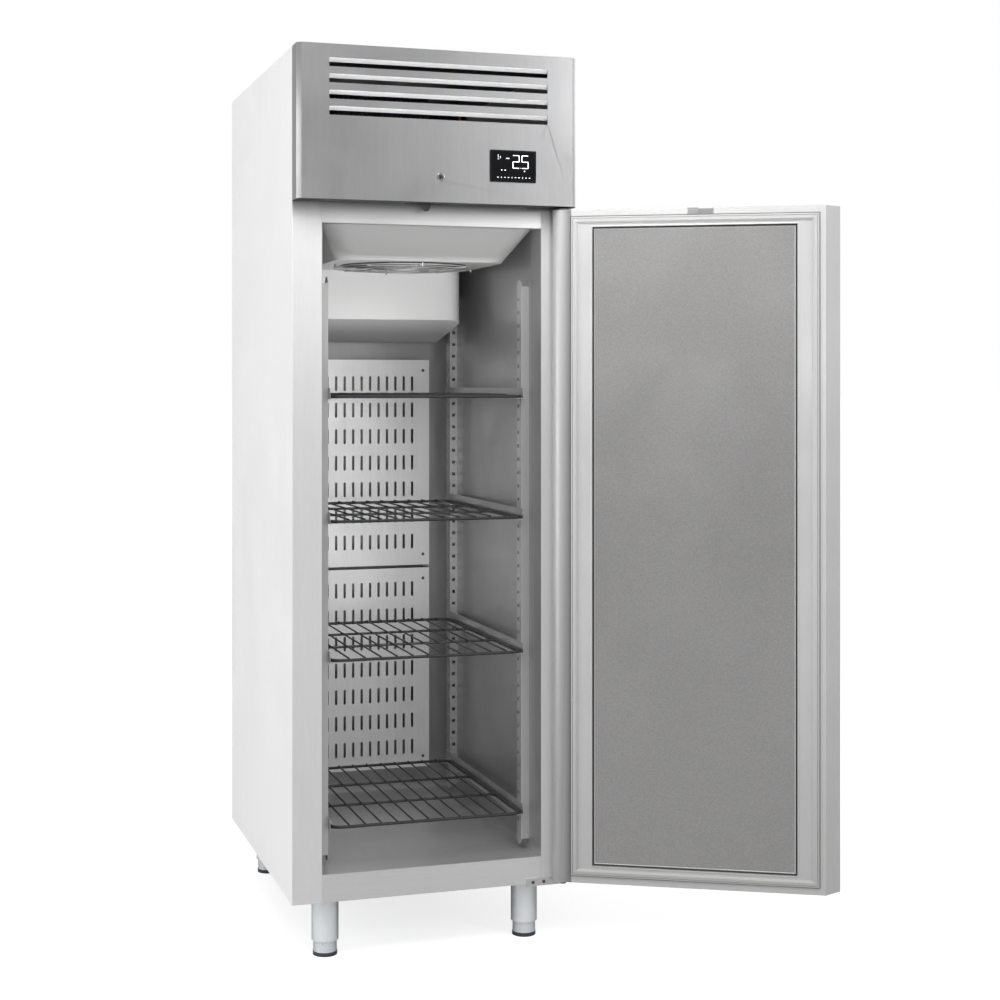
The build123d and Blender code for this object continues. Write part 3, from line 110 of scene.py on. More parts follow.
class DetailSizes(PropertyGroup):
    """Sizes of the details that are added to the model."""

    edge_radius: FloatProperty(
        name="Edge radius", description="Rounding of folded sheet edges", default=0.0004,
        unit="LENGTH", min=0,
    )
    digit_height: FloatProperty(
        name="Figure height", description="Height of the figures in the display", default=0.0285,
        unit="LENGTH", min=0,
    )
    digit_width: FloatProperty(
        name="Figure width", description="Width of one figure in the display", default=0.0148,
        unit="LENGTH", min=0,
    )
    digit_stroke: FloatProperty(
        name="Figure stroke", description="Thickness of the strokes of a figure", default=0.0015,
        unit="LENGTH", min=0,
    )
    seam_width: FloatProperty(
        name="Inlay seam", description="Width of the seam round the door's inlay", default=0.0037,
        unit="LENGTH", min=0,
    )
    guard_wire: FloatProperty(
        name="Guard wire", description="Thickness of the fan guard's wires", default=0.0022,
        unit="LENGTH", min=0,
    )
    guard_rings: IntProperty(
        name="Guard rings", description="Number of rings of the fan guard", default=6, min=2,
    )
    pad_height: FloatProperty(
        name="Foot pad", description="Height of the dark pad under a foot", default=0.009,
        unit="LENGTH", min=0,
    )
    recess_depth: FloatProperty(
        name="Screw recess", description="Depth of the cross in a screw head", default=0.0007,
        unit="LENGTH", min=0,
    )


class StudioSettings(PropertyGroup):
    """Camera and lights."""

    camera_place: FloatVectorProperty(
        name="Camera", description="Where the camera stands", default=(-1.0808, -4.167, 1.285),
        subtype="TRANSLATION", unit="LENGTH",
    )
    camera_turn: FloatProperty(
        name="Camera turn", description="Turn of the level camera about the vertical",
        default=math.radians(-17.5), subtype="ANGLE",
    )
    camera_lens: FloatProperty(
        name="Lens", description="Focal length on a 36 mm film, in mm", default=62.3, min=1,
    )
    camera_shift: FloatVectorProperty(
        name="Lens shift", description="Shift across and up, as shares of the picture's width",
        default=(0.0215, -0.1164), size=2,
    )
    key_power: FloatProperty(
        name="Key light", description="Power of the light above the front, in W", default=42, min=0,
    )
    side_power: FloatProperty(
        name="Side light", description="Power of the light at the left, in W", default=122, min=0,
    )
    fill_power: FloatProperty(
        name="Fill light", description="Power of the light at the right, in W", default=34, min=0,
    )
    rim_power: FloatProperty(
        name="Rim light", description="Power of the light behind the right edge, in W", default=22, min=0,
    )
    louvre_power: FloatProperty(
        name="Louvre light", description="Power of the narrow light from below on the louvres, in W",
        default=1.7, min=0,
    )
    chamber_power: FloatProperty(
        name="Chamber light", description="Power of the soft light in the opening, in W", default=1.5, min=0,
    )
    overhead: FloatProperty(
        name="Overhead light", description="Strength of the wide light from above", default=0.7, min=0,
    )
    sky: FloatProperty(
        name="Surroundings", description="Strength of the even light all round", default=0.58, min=0,
    )
    floor_white: FloatProperty(
        name="White floor", description="Glow that shows the floor white to the camera", default=0.72, min=0,
    )


# Directions

RIGHT = (1, 0, 0)
FORWARD = (0, -1, 0)
UP = (0, 0, 1)
DOWN = (0, 0, -1)
FACING_FRONT = Matrix.Rotation(math.pi / 2, 4, "X")

# How often the grain of steel repeats along X, Y and Z, per metre

VERTICAL = (600, 600, 26)
ACROSS = (26, 600, 600)
DEPTHWISE = (600, 26, 600)

# Colours of the smaller pieces

ZINC_SHEET = (0.5, 0.52, 0.53)
POURED_FOAM = (0.78, 0.68, 0.42)
AIR_BOX_PLASTIC = (0.93, 0.93, 0.925)
DUCT_SHEET = (0.76, 0.76, 0.76)
GREY_PLASTIC = (0.3, 0.31, 0.32)
COIL_ALUMINIUM = (0.62, 0.63, 0.64)
BLACK_PLASTIC = (0.02, 0.02, 0.021)
BLACK_PAINT = (0.016, 0.016, 0.018)
DARK_RUBBER = (0.03, 0.03, 0.03)
# Painted shade: the condenser fins near black
CONDENSER_FIN_SHADE = (0.03, 0.03, 0.032)
COPPER = (0.72, 0.36, 0.24)
GUARD_WIRE = (0.5, 0.5, 0.5)
STRIKER_STEEL = (0.55, 0.55, 0.55)
# Painted shade: the dark seam round the door's inlay
SEAM_SHADE = (0.035, 0.035, 0.035)
# Painted highlight: the bright rim round the door's inlay
RIM_HIGHLIGHT = (0.9, 0.9, 0.9)
LOUVRE_PAINT = (0.95, 0.95, 0.95)
BEZEL_BLACK = (0.006, 0.006, 0.0065)
GLASS_BLACK = (0.004, 0.004, 0.005)
CHROME = (0.42, 0.42, 0.43)
SCREW_STEEL = (0.12, 0.12, 0.12)
ZINC_PLATE = (0.6, 0.6, 0.6)
# Painted shade: a darkened copy of the zinc plate, for the upper hinge bracket
SHADED_ZINC = (0.16, 0.16, 0.16)
TONGUE_STEEL = (0.08, 0.075, 0.075)
LEG_TUBE = (0.9, 0.93, 0.95)
FOOT_STEEL = (0.8, 0.83, 0.86)
# Painted shade: the dark crosses in the screw heads
RECESS_SHADE = (0.01, 0.01, 0.01)
FLOOR_PAPER = (0.45, 0.45, 0.45)

# What a finish's colour is multiplied by: painted shade in its darker places, and the dark pad under a foot

HEADER_SHADOW = (0.3, 0.3, 0.3)
HINGE_SHADOW = (0.4, 0.4, 0.4)
# Painted shade: darkens the inside faces of the top cover and back panel
INSIDE_SHADE = (0.1, 0.1, 0.1)
# Painted shade: the chamber's walls darker than its floor
CHAMBER_WALL_SHADE = (0.7, 0.7, 0.7)
# Painted shade on the air box below its lip
AIR_BOX_LIP_SHADE = (0.6, 0.6, 0.6)
# Painted shade on the door shell's rounded hinge-side end
TURNED_EDGE_SHADE = (0.35, 0.35, 0.35)
# Painted shade: the door's inner frame, shell and gasket darker towards the bottom
LOWER_FRAME_SHADE = (0.82, 0.815, 0.815)
LOWER_SHELL_SHADE = (0.8, 0.795, 0.795)
LOWER_GASKET_SHADE = (0.76, 0.755, 0.755)
# Painted shade: the header's underside near black
HEADER_UNDERSIDE_SHADE = (0.05, 0.05, 0.05)
# Painted shade on the sides of the leg tubes and feet that turn from the view
TUBE_SIDE_SHADE = (0.42, 0.43, 0.44)
FOOT_PAD = (0.09, 0.09, 0.1)

# Steps of the strips on the door, from the outer edge inwards. The gasket's: how far in, in mm, how far up,
# as a share of its height, and its finish; the fold finish is painted shade in the gasket's outer fold.
# The seam's: shares of its width and of the inlay's thickness; the seam is a dark strip of painted shade.
# The rim's: how far in and up, in mm; the rim is a painted highlight round the inlay's edge.

RUBBER = 0
# The fold finish is painted shade in the gasket's outer fold
FOLD_SHADE = 1
GASKET_STEPS = (
    (1.9, 0.5, FOLD_SHADE), (0.8, 0.3, RUBBER), (2.3, 0.1, RUBBER), (0.9, -0.3, RUBBER), (0.9, 0.3, RUBBER),
    (6.2, 0.1, RUBBER), (1.2, -0.2, RUBBER), (2.6, -0.4, RUBBER), (1.2, -0.4, RUBBER),
)
SEAM_STEPS = ((0.1, 0.5), (0.25, 0.2), (0.3, 0), (0.25, -0.2))
RIM_STEPS = ((0.2, 0.5), (1.1, 0.9), (0.6, 0), (0.4, -0.5))


# Node groups shared by the finishes

def new_group(name, inputs, outputs):
    """An empty shader group with these sockets."""
    group = bpy.data.node_groups.new(name, "ShaderNodeTree")
    for label, kind, value in inputs:
        socket = group.interface.new_socket(name=label, in_out="INPUT", socket_type=kind)
        socket.default_value = value
    for label in outputs:
        group.interface.new_socket(name=label, in_out="OUTPUT", socket_type="NodeSocketFloat")
    enter = group.nodes.new("NodeGroupInput")
    leave = group.nodes.new("NodeGroupOutput")
    return group, enter, leave


def noise_node(tree, detail, roughness):
    """Noise of scale 1, which is scaled by what feeds it or by its own socket later."""
    noise = tree.nodes.new("ShaderNodeTexNoise")
    noise.inputs["Scale"].default_value = 1.0
    noise.inputs["Detail"].default_value = detail
    noise.inputs["Roughness"].default_value = roughness
    return noise


def brushed_grain():
    """Long fine streaks; Run holds how often the grain repeats along X, Y and Z, per metre."""
    group, enter, leave = new_group(
        "Brushed grain",
        [("Run", "NodeSocketVector", (700, 700, 9)), ("Coarse share", "NodeSocketFloat", 0.35)],
        ["Streak", "Height"],
    )
    place = group.nodes.new("ShaderNodeTexCoord")
    fine_map = group.nodes.new("ShaderNodeMapping")
    fine = noise_node(group, detail=3.0, roughness=0.6)
    shrink = group.nodes.new("ShaderNodeVectorMath")
    shrink.operation = "SCALE"
    shrink.inputs["Scale"].default_value = 0.16
    coarse_map = group.nodes.new("ShaderNodeMapping")
    coarse = noise_node(group, detail=2.0, roughness=0.5)
    mix = group.nodes.new("ShaderNodeMix")
    stretch = group.nodes.new("ShaderNodeMapRange")
    stretch.inputs["From Min"].default_value = 0.3
    stretch.inputs["From Max"].default_value = 0.7
    link = group.links.new
    link(place.outputs["Object"], fine_map.inputs["Vector"])
    link(enter.outputs["Run"], fine_map.inputs["Scale"])
    link(enter.outputs["Run"], shrink.inputs[0])
    link(shrink.outputs["Vector"], coarse_map.inputs["Scale"])
    link(place.outputs["Object"], coarse_map.inputs["Vector"])
    link(fine_map.outputs["Vector"], fine.inputs["Vector"])
    link(coarse_map.outputs["Vector"], coarse.inputs["Vector"])
    link(enter.outputs["Coarse share"], mix.inputs["Factor"])
    link(fine.outputs["Fac"], mix.inputs["A"])
    link(coarse.outputs["Fac"], mix.inputs["B"])
    link(mix.outputs["Result"], stretch.inputs["Value"])
    link(stretch.outputs["Result"], leave.inputs["Streak"])
    link(fine.outputs["Fac"], leave.inputs["Height"])
    return group


def soft_marks():
    """Large soft patches, as wiping and handling leave them."""
    group, enter, leave = new_group(
        "Soft marks",
        [
            ("Scale", "NodeSocketFloat", 6.0),
            ("Low", "NodeSocketFloat", 0.4),
            ("High", "NodeSocketFloat", 0.7),
        ],
        ["Mask"],
    )
    place = group.nodes.new("ShaderNodeTexCoord")
    noise = noise_node(group, detail=5.0, roughness=0.6)
    noise.inputs["Distortion"].default_value = 0.6
    level = group.nodes.new("ShaderNodeMapRange")
    link = group.links.new
    link(place.outputs["Object"], noise.inputs["Vector"])
    link(enter.outputs["Scale"], noise.inputs["Scale"])
    link(noise.outputs["Fac"], level.inputs["Value"])
    link(enter.outputs["Low"], level.inputs["From Min"])
    link(enter.outputs["High"], level.inputs["From Max"])
    link(level.outputs["Result"], leave.inputs["Mask"])
    return group


def pebble_grain():
    """Rounded pebbles, for stucco and zinc sheet, moulded plastic, rubber, paint and foam."""
    group, enter, leave = new_group(
        "Pebble grain",
        [("Scale", "NodeSocketFloat", 420.0), ("Mixed", "NodeSocketFloat", 0.4)],
        ["Height", "Shade"],
    )
    place = group.nodes.new("ShaderNodeTexCoord")
    cells = group.nodes.new("ShaderNodeTexVoronoi")
    cells.feature = "SMOOTH_F1"
    cells.inputs["Smoothness"].default_value = 0.7
    grit = noise_node(group, detail=3.0, roughness=0.65)
    mix = group.nodes.new("ShaderNodeMix")
    level = group.nodes.new("ShaderNodeMapRange")
    level.inputs["From Min"].default_value = 0.25
    level.inputs["From Max"].default_value = 0.65
    link = group.links.new
    for texture in (cells, grit):
        link(place.outputs["Object"], texture.inputs["Vector"])
        link(enter.outputs["Scale"], texture.inputs["Scale"])
    link(enter.outputs["Mixed"], mix.inputs["Factor"])
    link(cells.outputs["Distance"], mix.inputs["A"])
    link(grit.outputs["Fac"], mix.inputs["B"])
    link(mix.outputs["Result"], leave.inputs["Height"])
    link(grit.outputs["Fac"], level.inputs["Value"])
    link(level.outputs["Result"], leave.inputs["Shade"])
    return group


def place_band():
    """Mask that runs from 0 to 1 along Axis, between the places Low and High, in metres."""
    group, enter, leave = new_group(
        "Place band",
        [
            ("Axis", "NodeSocketVector", UP),
            ("Low", "NodeSocketFloat", 0.0),
            ("High", "NodeSocketFloat", 1.0),
        ],
        ["Mask"],
    )
    place = group.nodes.new("ShaderNodeTexCoord")
    along = group.nodes.new("ShaderNodeVectorMath")
    along.operation = "DOT_PRODUCT"
    level = group.nodes.new("ShaderNodeMapRange")
    link = group.links.new
    link(place.outputs["Object"], along.inputs[0])
    link(enter.outputs["Axis"], along.inputs[1])
    link(along.outputs["Value"], level.inputs["Value"])
    link(enter.outputs["Low"], level.inputs["From Min"])
    link(enter.outputs["High"], level.inputs["From Max"])
    link(level.outputs["Result"], leave.inputs["Mask"])
    return group


GRAIN = brushed_grain()
MARKS = soft_marks()
PEBBLE = pebble_grain()
BAND = place_band()


# Parts of a finish

def new_finish(name, metallic):
    """A material with its shader, set to a plain metallic value."""
    finish = bpy.data.materials.new(name)
    finish.use_nodes = True
    tree = finish.node_tree
    shader = tree.nodes["Principled BSDF"]
    shader.inputs["Metallic"].default_value = metallic
    return finish, tree, shader


def place_group(tree, group, **values):
    """Places a shared group in a finish; an underscore in a socket's name stands for a space."""
    node = tree.nodes.new("ShaderNodeGroup")
    node.node_tree = group
    for label, value in values.items():
        node.inputs[label.replace("_", " ")].default_value = value
    return node


def vary_colour(tree, shader, mask, dark, bright):
    """Base colour between two shades, as the mask says."""
    mix = tree.nodes.new("ShaderNodeMix")
    mix.data_type = "RGBA"
    mix.inputs["A"].default_value = (*dark, 1)
    mix.inputs["B"].default_value = (*bright, 1)
    tree.links.new(mask, mix.inputs["Factor"])
    tree.links.new(mix.outputs["Result"], shader.inputs["Base Color"])


def vary_roughness(tree, shader, mask, low, high):
    """Roughness between two values, as the mask says."""
    level = tree.nodes.new("ShaderNodeMapRange")
    level.inputs["To Min"].default_value = low
    level.inputs["To Max"].default_value = high
    tree.links.new(mask, level.inputs["Value"])
    tree.links.new(level.outputs["Result"], shader.inputs["Roughness"])


def add_bump(tree, shader, height, strength, depth=0.4 * mm):
    """Relief of the surface, as deep as this where the strength is 1."""
    bump = tree.nodes.new("ShaderNodeBump")
    bump.inputs["Strength"].default_value = strength
    bump.inputs["Distance"].default_value = depth
    tree.links.new(height, bump.inputs["Height"])
    tree.links.new(bump.outputs["Normal"], shader.inputs["Normal"])


def shade(colour, factor):
    """A colour made darker or brighter."""
    return tuple(min(1.0, channel * factor) for channel in colour)


def tint(finish, mask, other):
    """Multiplies the finish's colour by another one where the mask is 1."""
    tree = finish.node_tree
    shader = tree.nodes["Principled BSDF"]
    before = shader.inputs["Base Color"].links[0].from_socket
    mix = tree.nodes.new("ShaderNodeMix")
    mix.data_type = "RGBA"
    mix.blend_type = "MULTIPLY"
    mix.inputs["B"].default_value = (*other, 1)
    tree.links.new(mask, mix.inputs["Factor"])
    tree.links.new(before, mix.inputs["A"])
    tree.links.new(mix.outputs["Result"], shader.inputs["Base Color"])


def fade(axis, edge, start, full):
    """A band along the axis that starts and is full this far before an edge; less than 0 is beyond it."""
    return axis, edge - start, edge - full


def tint_bands(finish, other, *bands):
    """Multiplies the finish's colour by another one where all of these bands are full."""
    tree = finish.node_tree
    mask = None
    for axis, low, high in bands:
        band = place_group(tree, BAND, Axis=axis, Low=low, High=high).outputs["Mask"]
        if mask is None:
            mask = band
            continue
        product = tree.nodes.new("ShaderNodeMath")
        product.operation = "MULTIPLY"
        tree.links.new(mask, product.inputs[0])
        tree.links.new(band, product.inputs[1])
        mask = product.outputs["Value"]
    tint(finish, mask, other)


# Finishes

def steel(name, colour, run, metallic=0.75, rough=(0.3, 0.44), contrast=0.07, bump=0.05):
    """Satin or brushed metal: streaked colour, wiped patches in the gloss, fine grain."""
    finish, tree, shader = new_finish(name, metallic)
    grain = place_group(tree, GRAIN, Run=run)
    marks = place_group(tree, MARKS, Scale=5.0)
    dark, bright = shade(colour, 1 - contrast), shade(colour, 1 + contrast)
    vary_colour(tree, shader, grain.outputs["Streak"], dark, bright)
    vary_roughness(tree, shader, marks.outputs["Mask"], *rough)
    add_bump(tree, shader, grain.outputs["Height"], bump)
    return finish


def moulded(
    name, colour, scale=900.0, metallic=0.0, rough=(0.38, 0.5), bump=0.12, contrast=0.05, coat=0.0,
    specular=0.5,
):
    """Coated sheet, plastic, rubber or paper with a fine pebbled skin."""
    finish, tree, shader = new_finish(name, metallic)
    shader.inputs["Specular IOR Level"].default_value = specular
    shader.inputs["Coat Weight"].default_value = coat
    pebble = place_group(tree, PEBBLE, Scale=scale)
    marks = place_group(tree, MARKS, Scale=9.0)
    dark, bright = shade(colour, 1 - contrast), shade(colour, 1 + contrast)
    vary_colour(tree, shader, pebble.outputs["Shade"], dark, bright)
    vary_roughness(tree, shader, marks.outputs["Mask"], *rough)
    add_bump(tree, shader, pebble.outputs["Height"], bump)
    return finish


def galvanised(name):
    """Zinc coated sheet with its large soft crystals."""
    return moulded(name, ZINC_SHEET, scale=60.0, metallic=0.8, rough=(0.35, 0.55), bump=0.04, contrast=0.18)


def stucco(name, colour):
    """Embossed aluminium sheet."""
    finish, tree, shader = new_finish(name, metallic=0.7)
    pebble = place_group(tree, PEBBLE, Scale=330.0, Mixed=0.55)
    marks = place_group(tree, MARKS, Scale=4.0)
    vary_colour(tree, shader, pebble.outputs["Shade"], shade(colour, 0.86), shade(colour, 1.14))
    vary_roughness(tree, shader, marks.outputs["Mask"], 0.42, 0.52)
    add_bump(tree, shader, pebble.outputs["Height"], 0.35, depth=0.6 * mm)
    return finish


def glow(name, colour, strength):
    """Lit figures on the display's glass."""
    finish, tree, shader = new_finish(name, metallic=0.0)
    marks = place_group(tree, MARKS, Scale=400.0)
    vary_colour(tree, shader, marks.outputs["Mask"], shade(colour, 0.9), colour)
    vary_roughness(tree, shader, marks.outputs["Mask"], 0.2, 0.3)
    shader.inputs["Emission Color"].default_value = (*colour, 1)
    shader.inputs["Emission Strength"].default_value = strength
    return finish


# CAD nodes

def dress(finish, *names):
    """Gives CAD nodes their finish."""
    for name in names:
        slots = nodes[name].data.materials
        slots.clear()
        slots.append(finish)


def round_edges(radius, *names):
    """Merges the loose triangles of CAD nodes as they are shown, and rounds their sharp edges."""
    for name in names:
        weld = nodes[name].modifiers.new("Merge", "WELD")
        weld.merge_threshold = 0.01 * mm
        bevel = nodes[name].modifiers.new("Edges", "BEVEL")
        bevel.width = radius
        bevel.segments = 2
        bevel.limit_method = "ANGLE"
        bevel.angle_limit = math.radians(35)


def local_box(name, place):
    """Lowest and highest corner of a node in another frame."""
    back = place.inverted()
    points = [back @ vertex.co for vertex in nodes[name].data.vertices]
    low = Vector([min(point[axis] for point in points) for axis in range(3)])
    high = Vector([max(point[axis] for point in points) for axis in range(3)])
    return low, high


def islands(name):
    """Boxes of the separate solids of a node."""
    bm = bmesh.new()
    bm.from_mesh(nodes[name].data)
    bmesh.ops.remove_doubles(bm, verts=bm.verts, dist=0.001 * mm)
    left = set(bm.verts)
    boxes = []
    while left:
        solid = set()
        waiting = [left.pop()]
        while waiting:
            vertex = waiting.pop()
            solid.add(vertex)
            for edge in vertex.link_edges:
                other = edge.other_vert(vertex)
                if other in left:
                    left.remove(other)
                    waiting.append(other)
        low = Vector([min(vertex.co[axis] for vertex in solid) for axis in range(3)])
        high = Vector([max(vertex.co[axis] for vertex in solid) for axis in range(3)])
        boxes.append((low, high))
    bm.free()
    return boxes


def door_frame():
    """Frame of the door at rest: X along it from the pin, Y up, Z out of its inner face."""
    hinge = next(joint for joint in frame["joints"] if joint["name"] == "door_hinge")
    turn = math.radians(-hinge["range_deg"][0])
    along = Vector((-math.cos(turn), -math.sin(turn), 0))
    inward = Vector((-math.sin(turn), math.cos(turn), 0))
    place = Matrix((along, Vector(UP), inward)).transposed().to_4x4()
    place.translation = Vector((hinge["pos_m"][0], hinge["pos_m"][1], 0))
    return place


# Shapes

def finish_piece(bm, name, finish, body, smooth=False):
    """Makes an object of the mesh, and puts it on its body."""
    bmesh.ops.recalc_face_normals(bm, faces=bm.faces)
    mesh = bpy.data.meshes.new(name)
    bm.to_mesh(mesh)
    bm.free()
    if smooth:
        mesh.polygons.foreach_set("use_smooth", [True] * len(mesh.polygons))
    piece = bpy.data.objects.new(name, mesh)
    bpy.context.scene.collection.objects.link(piece)
    mesh.materials.append(finish)
    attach(piece, body)
    return piece


def panel_plane(bm, width, height, place):
    """Corners of one new flat face of this size, centred on the place."""
    size = Matrix.Diagonal((width, height, 1, 1))
    made = bmesh.ops.create_grid(bm, x_segments=1, y_segments=1, size=0.5, matrix=place @ size)
    return made["verts"]


def turned_shape(bm, place, radii, length, segments):
    """Corners of a new closed cylinder or cone along the place's Z; radii: its lower and its upper end's."""
    made = bmesh.ops.create_cone(
        bm, cap_ends=True, segments=segments, radius1=radii[0], radius2=radii[1], depth=length, matrix=place,
    )
    return made["verts"]


def edges_at(corners):
    """All edges that meet at these corners."""
    return {edge for corner in corners for edge in corner.link_edges}


def ease(bm, geom, radius, segments=2, affect="EDGES", clamp=False):
    """Rounds edges or corners."""
    bmesh.ops.bevel(
        bm, geom=list(geom), offset=radius, segments=segments, profile=0.5, affect=affect, material=-1,
        clamp_overlap=clamp,
    )


def wire_hoop(bm, centre, radius, wire_radius):
    """A level ring of round wire."""
    start = Matrix.Translation((centre[0] + radius, centre[1], centre[2])) @ FACING_FRONT
    made = bmesh.ops.create_circle(bm, segments=8, radius=wire_radius, matrix=start)
    edges = [edge for edge in bm.edges if edge.verts[0] in made["verts"]]
    bmesh.ops.spin(
        bm, geom=edges, cent=centre, axis=UP, dvec=(0, 0, 0), angle=2 * math.pi, steps=72, use_merge=True,
    )


def door_strip(place, border, height, steps, name, finishes):
    """Closed strip round a rectangle on the door; each step says how far in, how far up and its finish."""
    left, low, right, high = border
    centre = Matrix.Translation(((left + right) / 2, (low + high) / 2, height))
    bm = bmesh.new()
    panel_plane(bm, right - left, high - low, centre)
    face = bm.faces[:][0]
    for inward, up, number in steps:
        made = bmesh.ops.inset_region(
            bm, faces=[face], thickness=inward, depth=up, use_boundary=True, use_even_offset=True,
        )
        for side in made["faces"]:
            side.material_index = number
    bmesh.ops.delete(bm, geom=[face], context="FACES_ONLY")
    bmesh.ops.bridge_loops(bm, edges=[edge for edge in bm.edges if edge.is_boundary])
    bm.transform(place)
    strip = finish_piece(bm, name, finishes[0], "door")
    for finish in finishes[1:]:
        strip.data.materials.append(finish)
    return strip


def pin_nut(bm, low, high):
    """Six-sided nut with eased edges, as wide and high as a box."""
    size = high - low
    place = Matrix.Translation((low + high) / 2)
    corners = turned_shape(bm, place, (size.x / 2, size.x / 2), size.z, segments=6)
    ease(bm, edges_at(corners), 0.4 * mm)


def screw_head(bm, low, high):
    """Low round head with a rounded rim at the front of a box."""
    width = high.x - low.x
    thick = min(high.y - low.y, 1.6 * mm)
    middle = (low + high) / 2
    spot = Vector((middle.x, low.y + thick / 2, middle.z))
    place = Matrix.Translation(spot) @ FACING_FRONT
    corners = turned_shape(bm, place, (width / 2, width * 0.42), thick, segments=32)
    front = [corner for corner in corners if corner.co.y < spot.y]
    rim = {edge for corner in front for edge in corner.link_edges if edge.other_vert(corner) in front}
    ease(bm, rim, thick * 0.3, segments=3)


def screw_cross(bm, low, high, depth):
    """Dark cross of painted shade for the recess in a screw's head, a hair proud of it so that it shows."""
    proud = 0.05 * mm
    turn = 0.5
    width = high.x - low.x
    middle = (low + high) / 2
    for angle in (turn, turn + math.pi / 2):
        place = (
            Matrix.Translation((middle.x, low.y + depth / 2 - proud, middle.z))
            @ Matrix.Rotation(angle, 4, "Y")
            @ Matrix.Diagonal((width * 0.5, depth, width * 0.13, 1))
        )
        bmesh.ops.create_cube(bm, size=1, matrix=place)


# Operators, one for each group of like pieces

class CaseOperator(Operator):
    """Finish the outer case, its front frame, the rack in the chamber and the top compartment's sheets."""

    bl_idname = "refrigerator.case"
    bl_label = "Case"

    def execute(self, context):
        colours = context.scene.refrigerator_colours
        front_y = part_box("left_side_panel")[0][1]
        right_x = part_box("right_side_panel")[1][0]
        header_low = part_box("header_panel")[0][2]
        front_strip = fade(FORWARD, -front_y, start=2 * mm, full=0.5 * mm)
        below_header = fade(UP, header_low, start=38 * mm, full=2 * mm)
        beside_hinge = fade(RIGHT, right_x, start=34 * mm, full=6 * mm)

        side = steel(
            "Side skin steel", colours.side, VERTICAL, metallic=0.12, rough=(0.46, 0.58), contrast=0.03,
        )
        tint_bands(side, shade(colours.front, 1.65), front_strip)
        tint_bands(side, HEADER_SHADOW, front_strip, below_header)
        tint_bands(side, HINGE_SHADOW, front_strip, beside_hinge)
        dress(side, "left_side_panel", "right_side_panel")
        rail = steel("Front rail steel", shade(colours.front, 1.3), ACROSS, metallic=0.6, contrast=0.035)
        tint_bands(rail, HEADER_SHADOW, below_header)
        dress(rail, "front_top_rail", "front_bottom_rail")

        dress(galvanised("Galvanised sheet"), "bottom_panel", "compartment_deck")
        for name, axis, face in (
            ("top_cover", DOWN, -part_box("top_cover")[1][2]),
            ("back_panel", FORWARD, -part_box("back_panel")[1][1]),
        ):
            # Painted shade: the inside faces of the top cover and back panel are darkened, for the shade in
            # the top compartment
            inside_shaded = galvanised(f"Inside-shaded sheet of {name}")
            tint_bands(inside_shaded, INSIDE_SHADE, fade(axis, face, start=-0.3 * mm, full=-0.6 * mm))
            dress(inside_shaded, name)
        foam = moulded("Poured foam", POURED_FOAM, scale=300.0, rough=(0.8, 0.95), bump=0.5, contrast=0.1)
        dress(foam, "insulation_foam")

        posts = steel("Rack post steel", colours.front, VERTICAL, metallic=0.6, contrast=0.04)
        dress(posts, "front_rack_posts", "rear_rack_posts")
        guides = steel("Guide rail steel", colours.front, DEPTHWISE, contrast=0.05)
        dress(guides, "left_guide_rails", "right_guide_rails")
        round_edges(
            context.scene.refrigerator_sizes.edge_radius,
            "left_side_panel", "right_side_panel", "front_top_rail", "front_bottom_rail", "top_cover",
        )
        return {"FINISHED"}


class ChamberOperator(Operator):
    """Finish the chamber, its air housings and ducts, the drain and other plastic parts."""

    bl_idname = "refrigerator.chamber"
    bl_label = "Chamber"

    def execute(self, context):
        colours = context.scene.refrigerator_colours
        floor_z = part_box("inner_liner")[0][2]
        lining = steel("Chamber steel", colours.liner, VERTICAL, metallic=0.6, contrast=0.04)
        # Painted shade: the chamber's walls are darkened from 6 mm above its floor, fully from 22 mm up
        tint_bands(lining, CHAMBER_WALL_SHADE, fade(UP, floor_z, start=-6 * mm, full=-22 * mm))
        dress(lining, "inner_liner")
        duct = steel("Duct panel sheet", DUCT_SHEET, VERTICAL, metallic=0.45, contrast=0.04)
        dress(duct, "upper_duct_panel", "lower_duct_panel")

        pale = moulded(
            "Air housing plastic", colours.housing, scale=1100.0, rough=(0.3, 0.42), bump=0.06, contrast=0.03,
        )
        dress(pale, "evaporator_housing")
        box_low, box_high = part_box("rear_air_box")
        lip_z = box_low[2] + (box_high[2] - box_low[2]) * 0.2
        air_box = moulded(
            "Air box plastic", AIR_BOX_PLASTIC, scale=1100.0, rough=(0.3, 0.42), bump=0.06, contrast=0.02,
        )
        # Painted shade: the air box darkens from just above its lip to 30 mm below it
        tint_bands(air_box, AIR_BOX_LIP_SHADE, fade(DOWN, -lip_z, start=6 * mm, full=-30 * mm))
        dress(air_box, "rear_air_box")
        grey = moulded("Grey plastic", GREY_PLASTIC, scale=800.0, rough=(0.4, 0.55))
        dress(grey, "drain_pipe", "evaporation_tray", "hinge_bushes", "electrical_box")
        dress(steel("Coil aluminium", COIL_ALUMINIUM, ACROSS, rough=(0.3, 0.5)), "evaporator_coil")
        return {"FINISHED"}


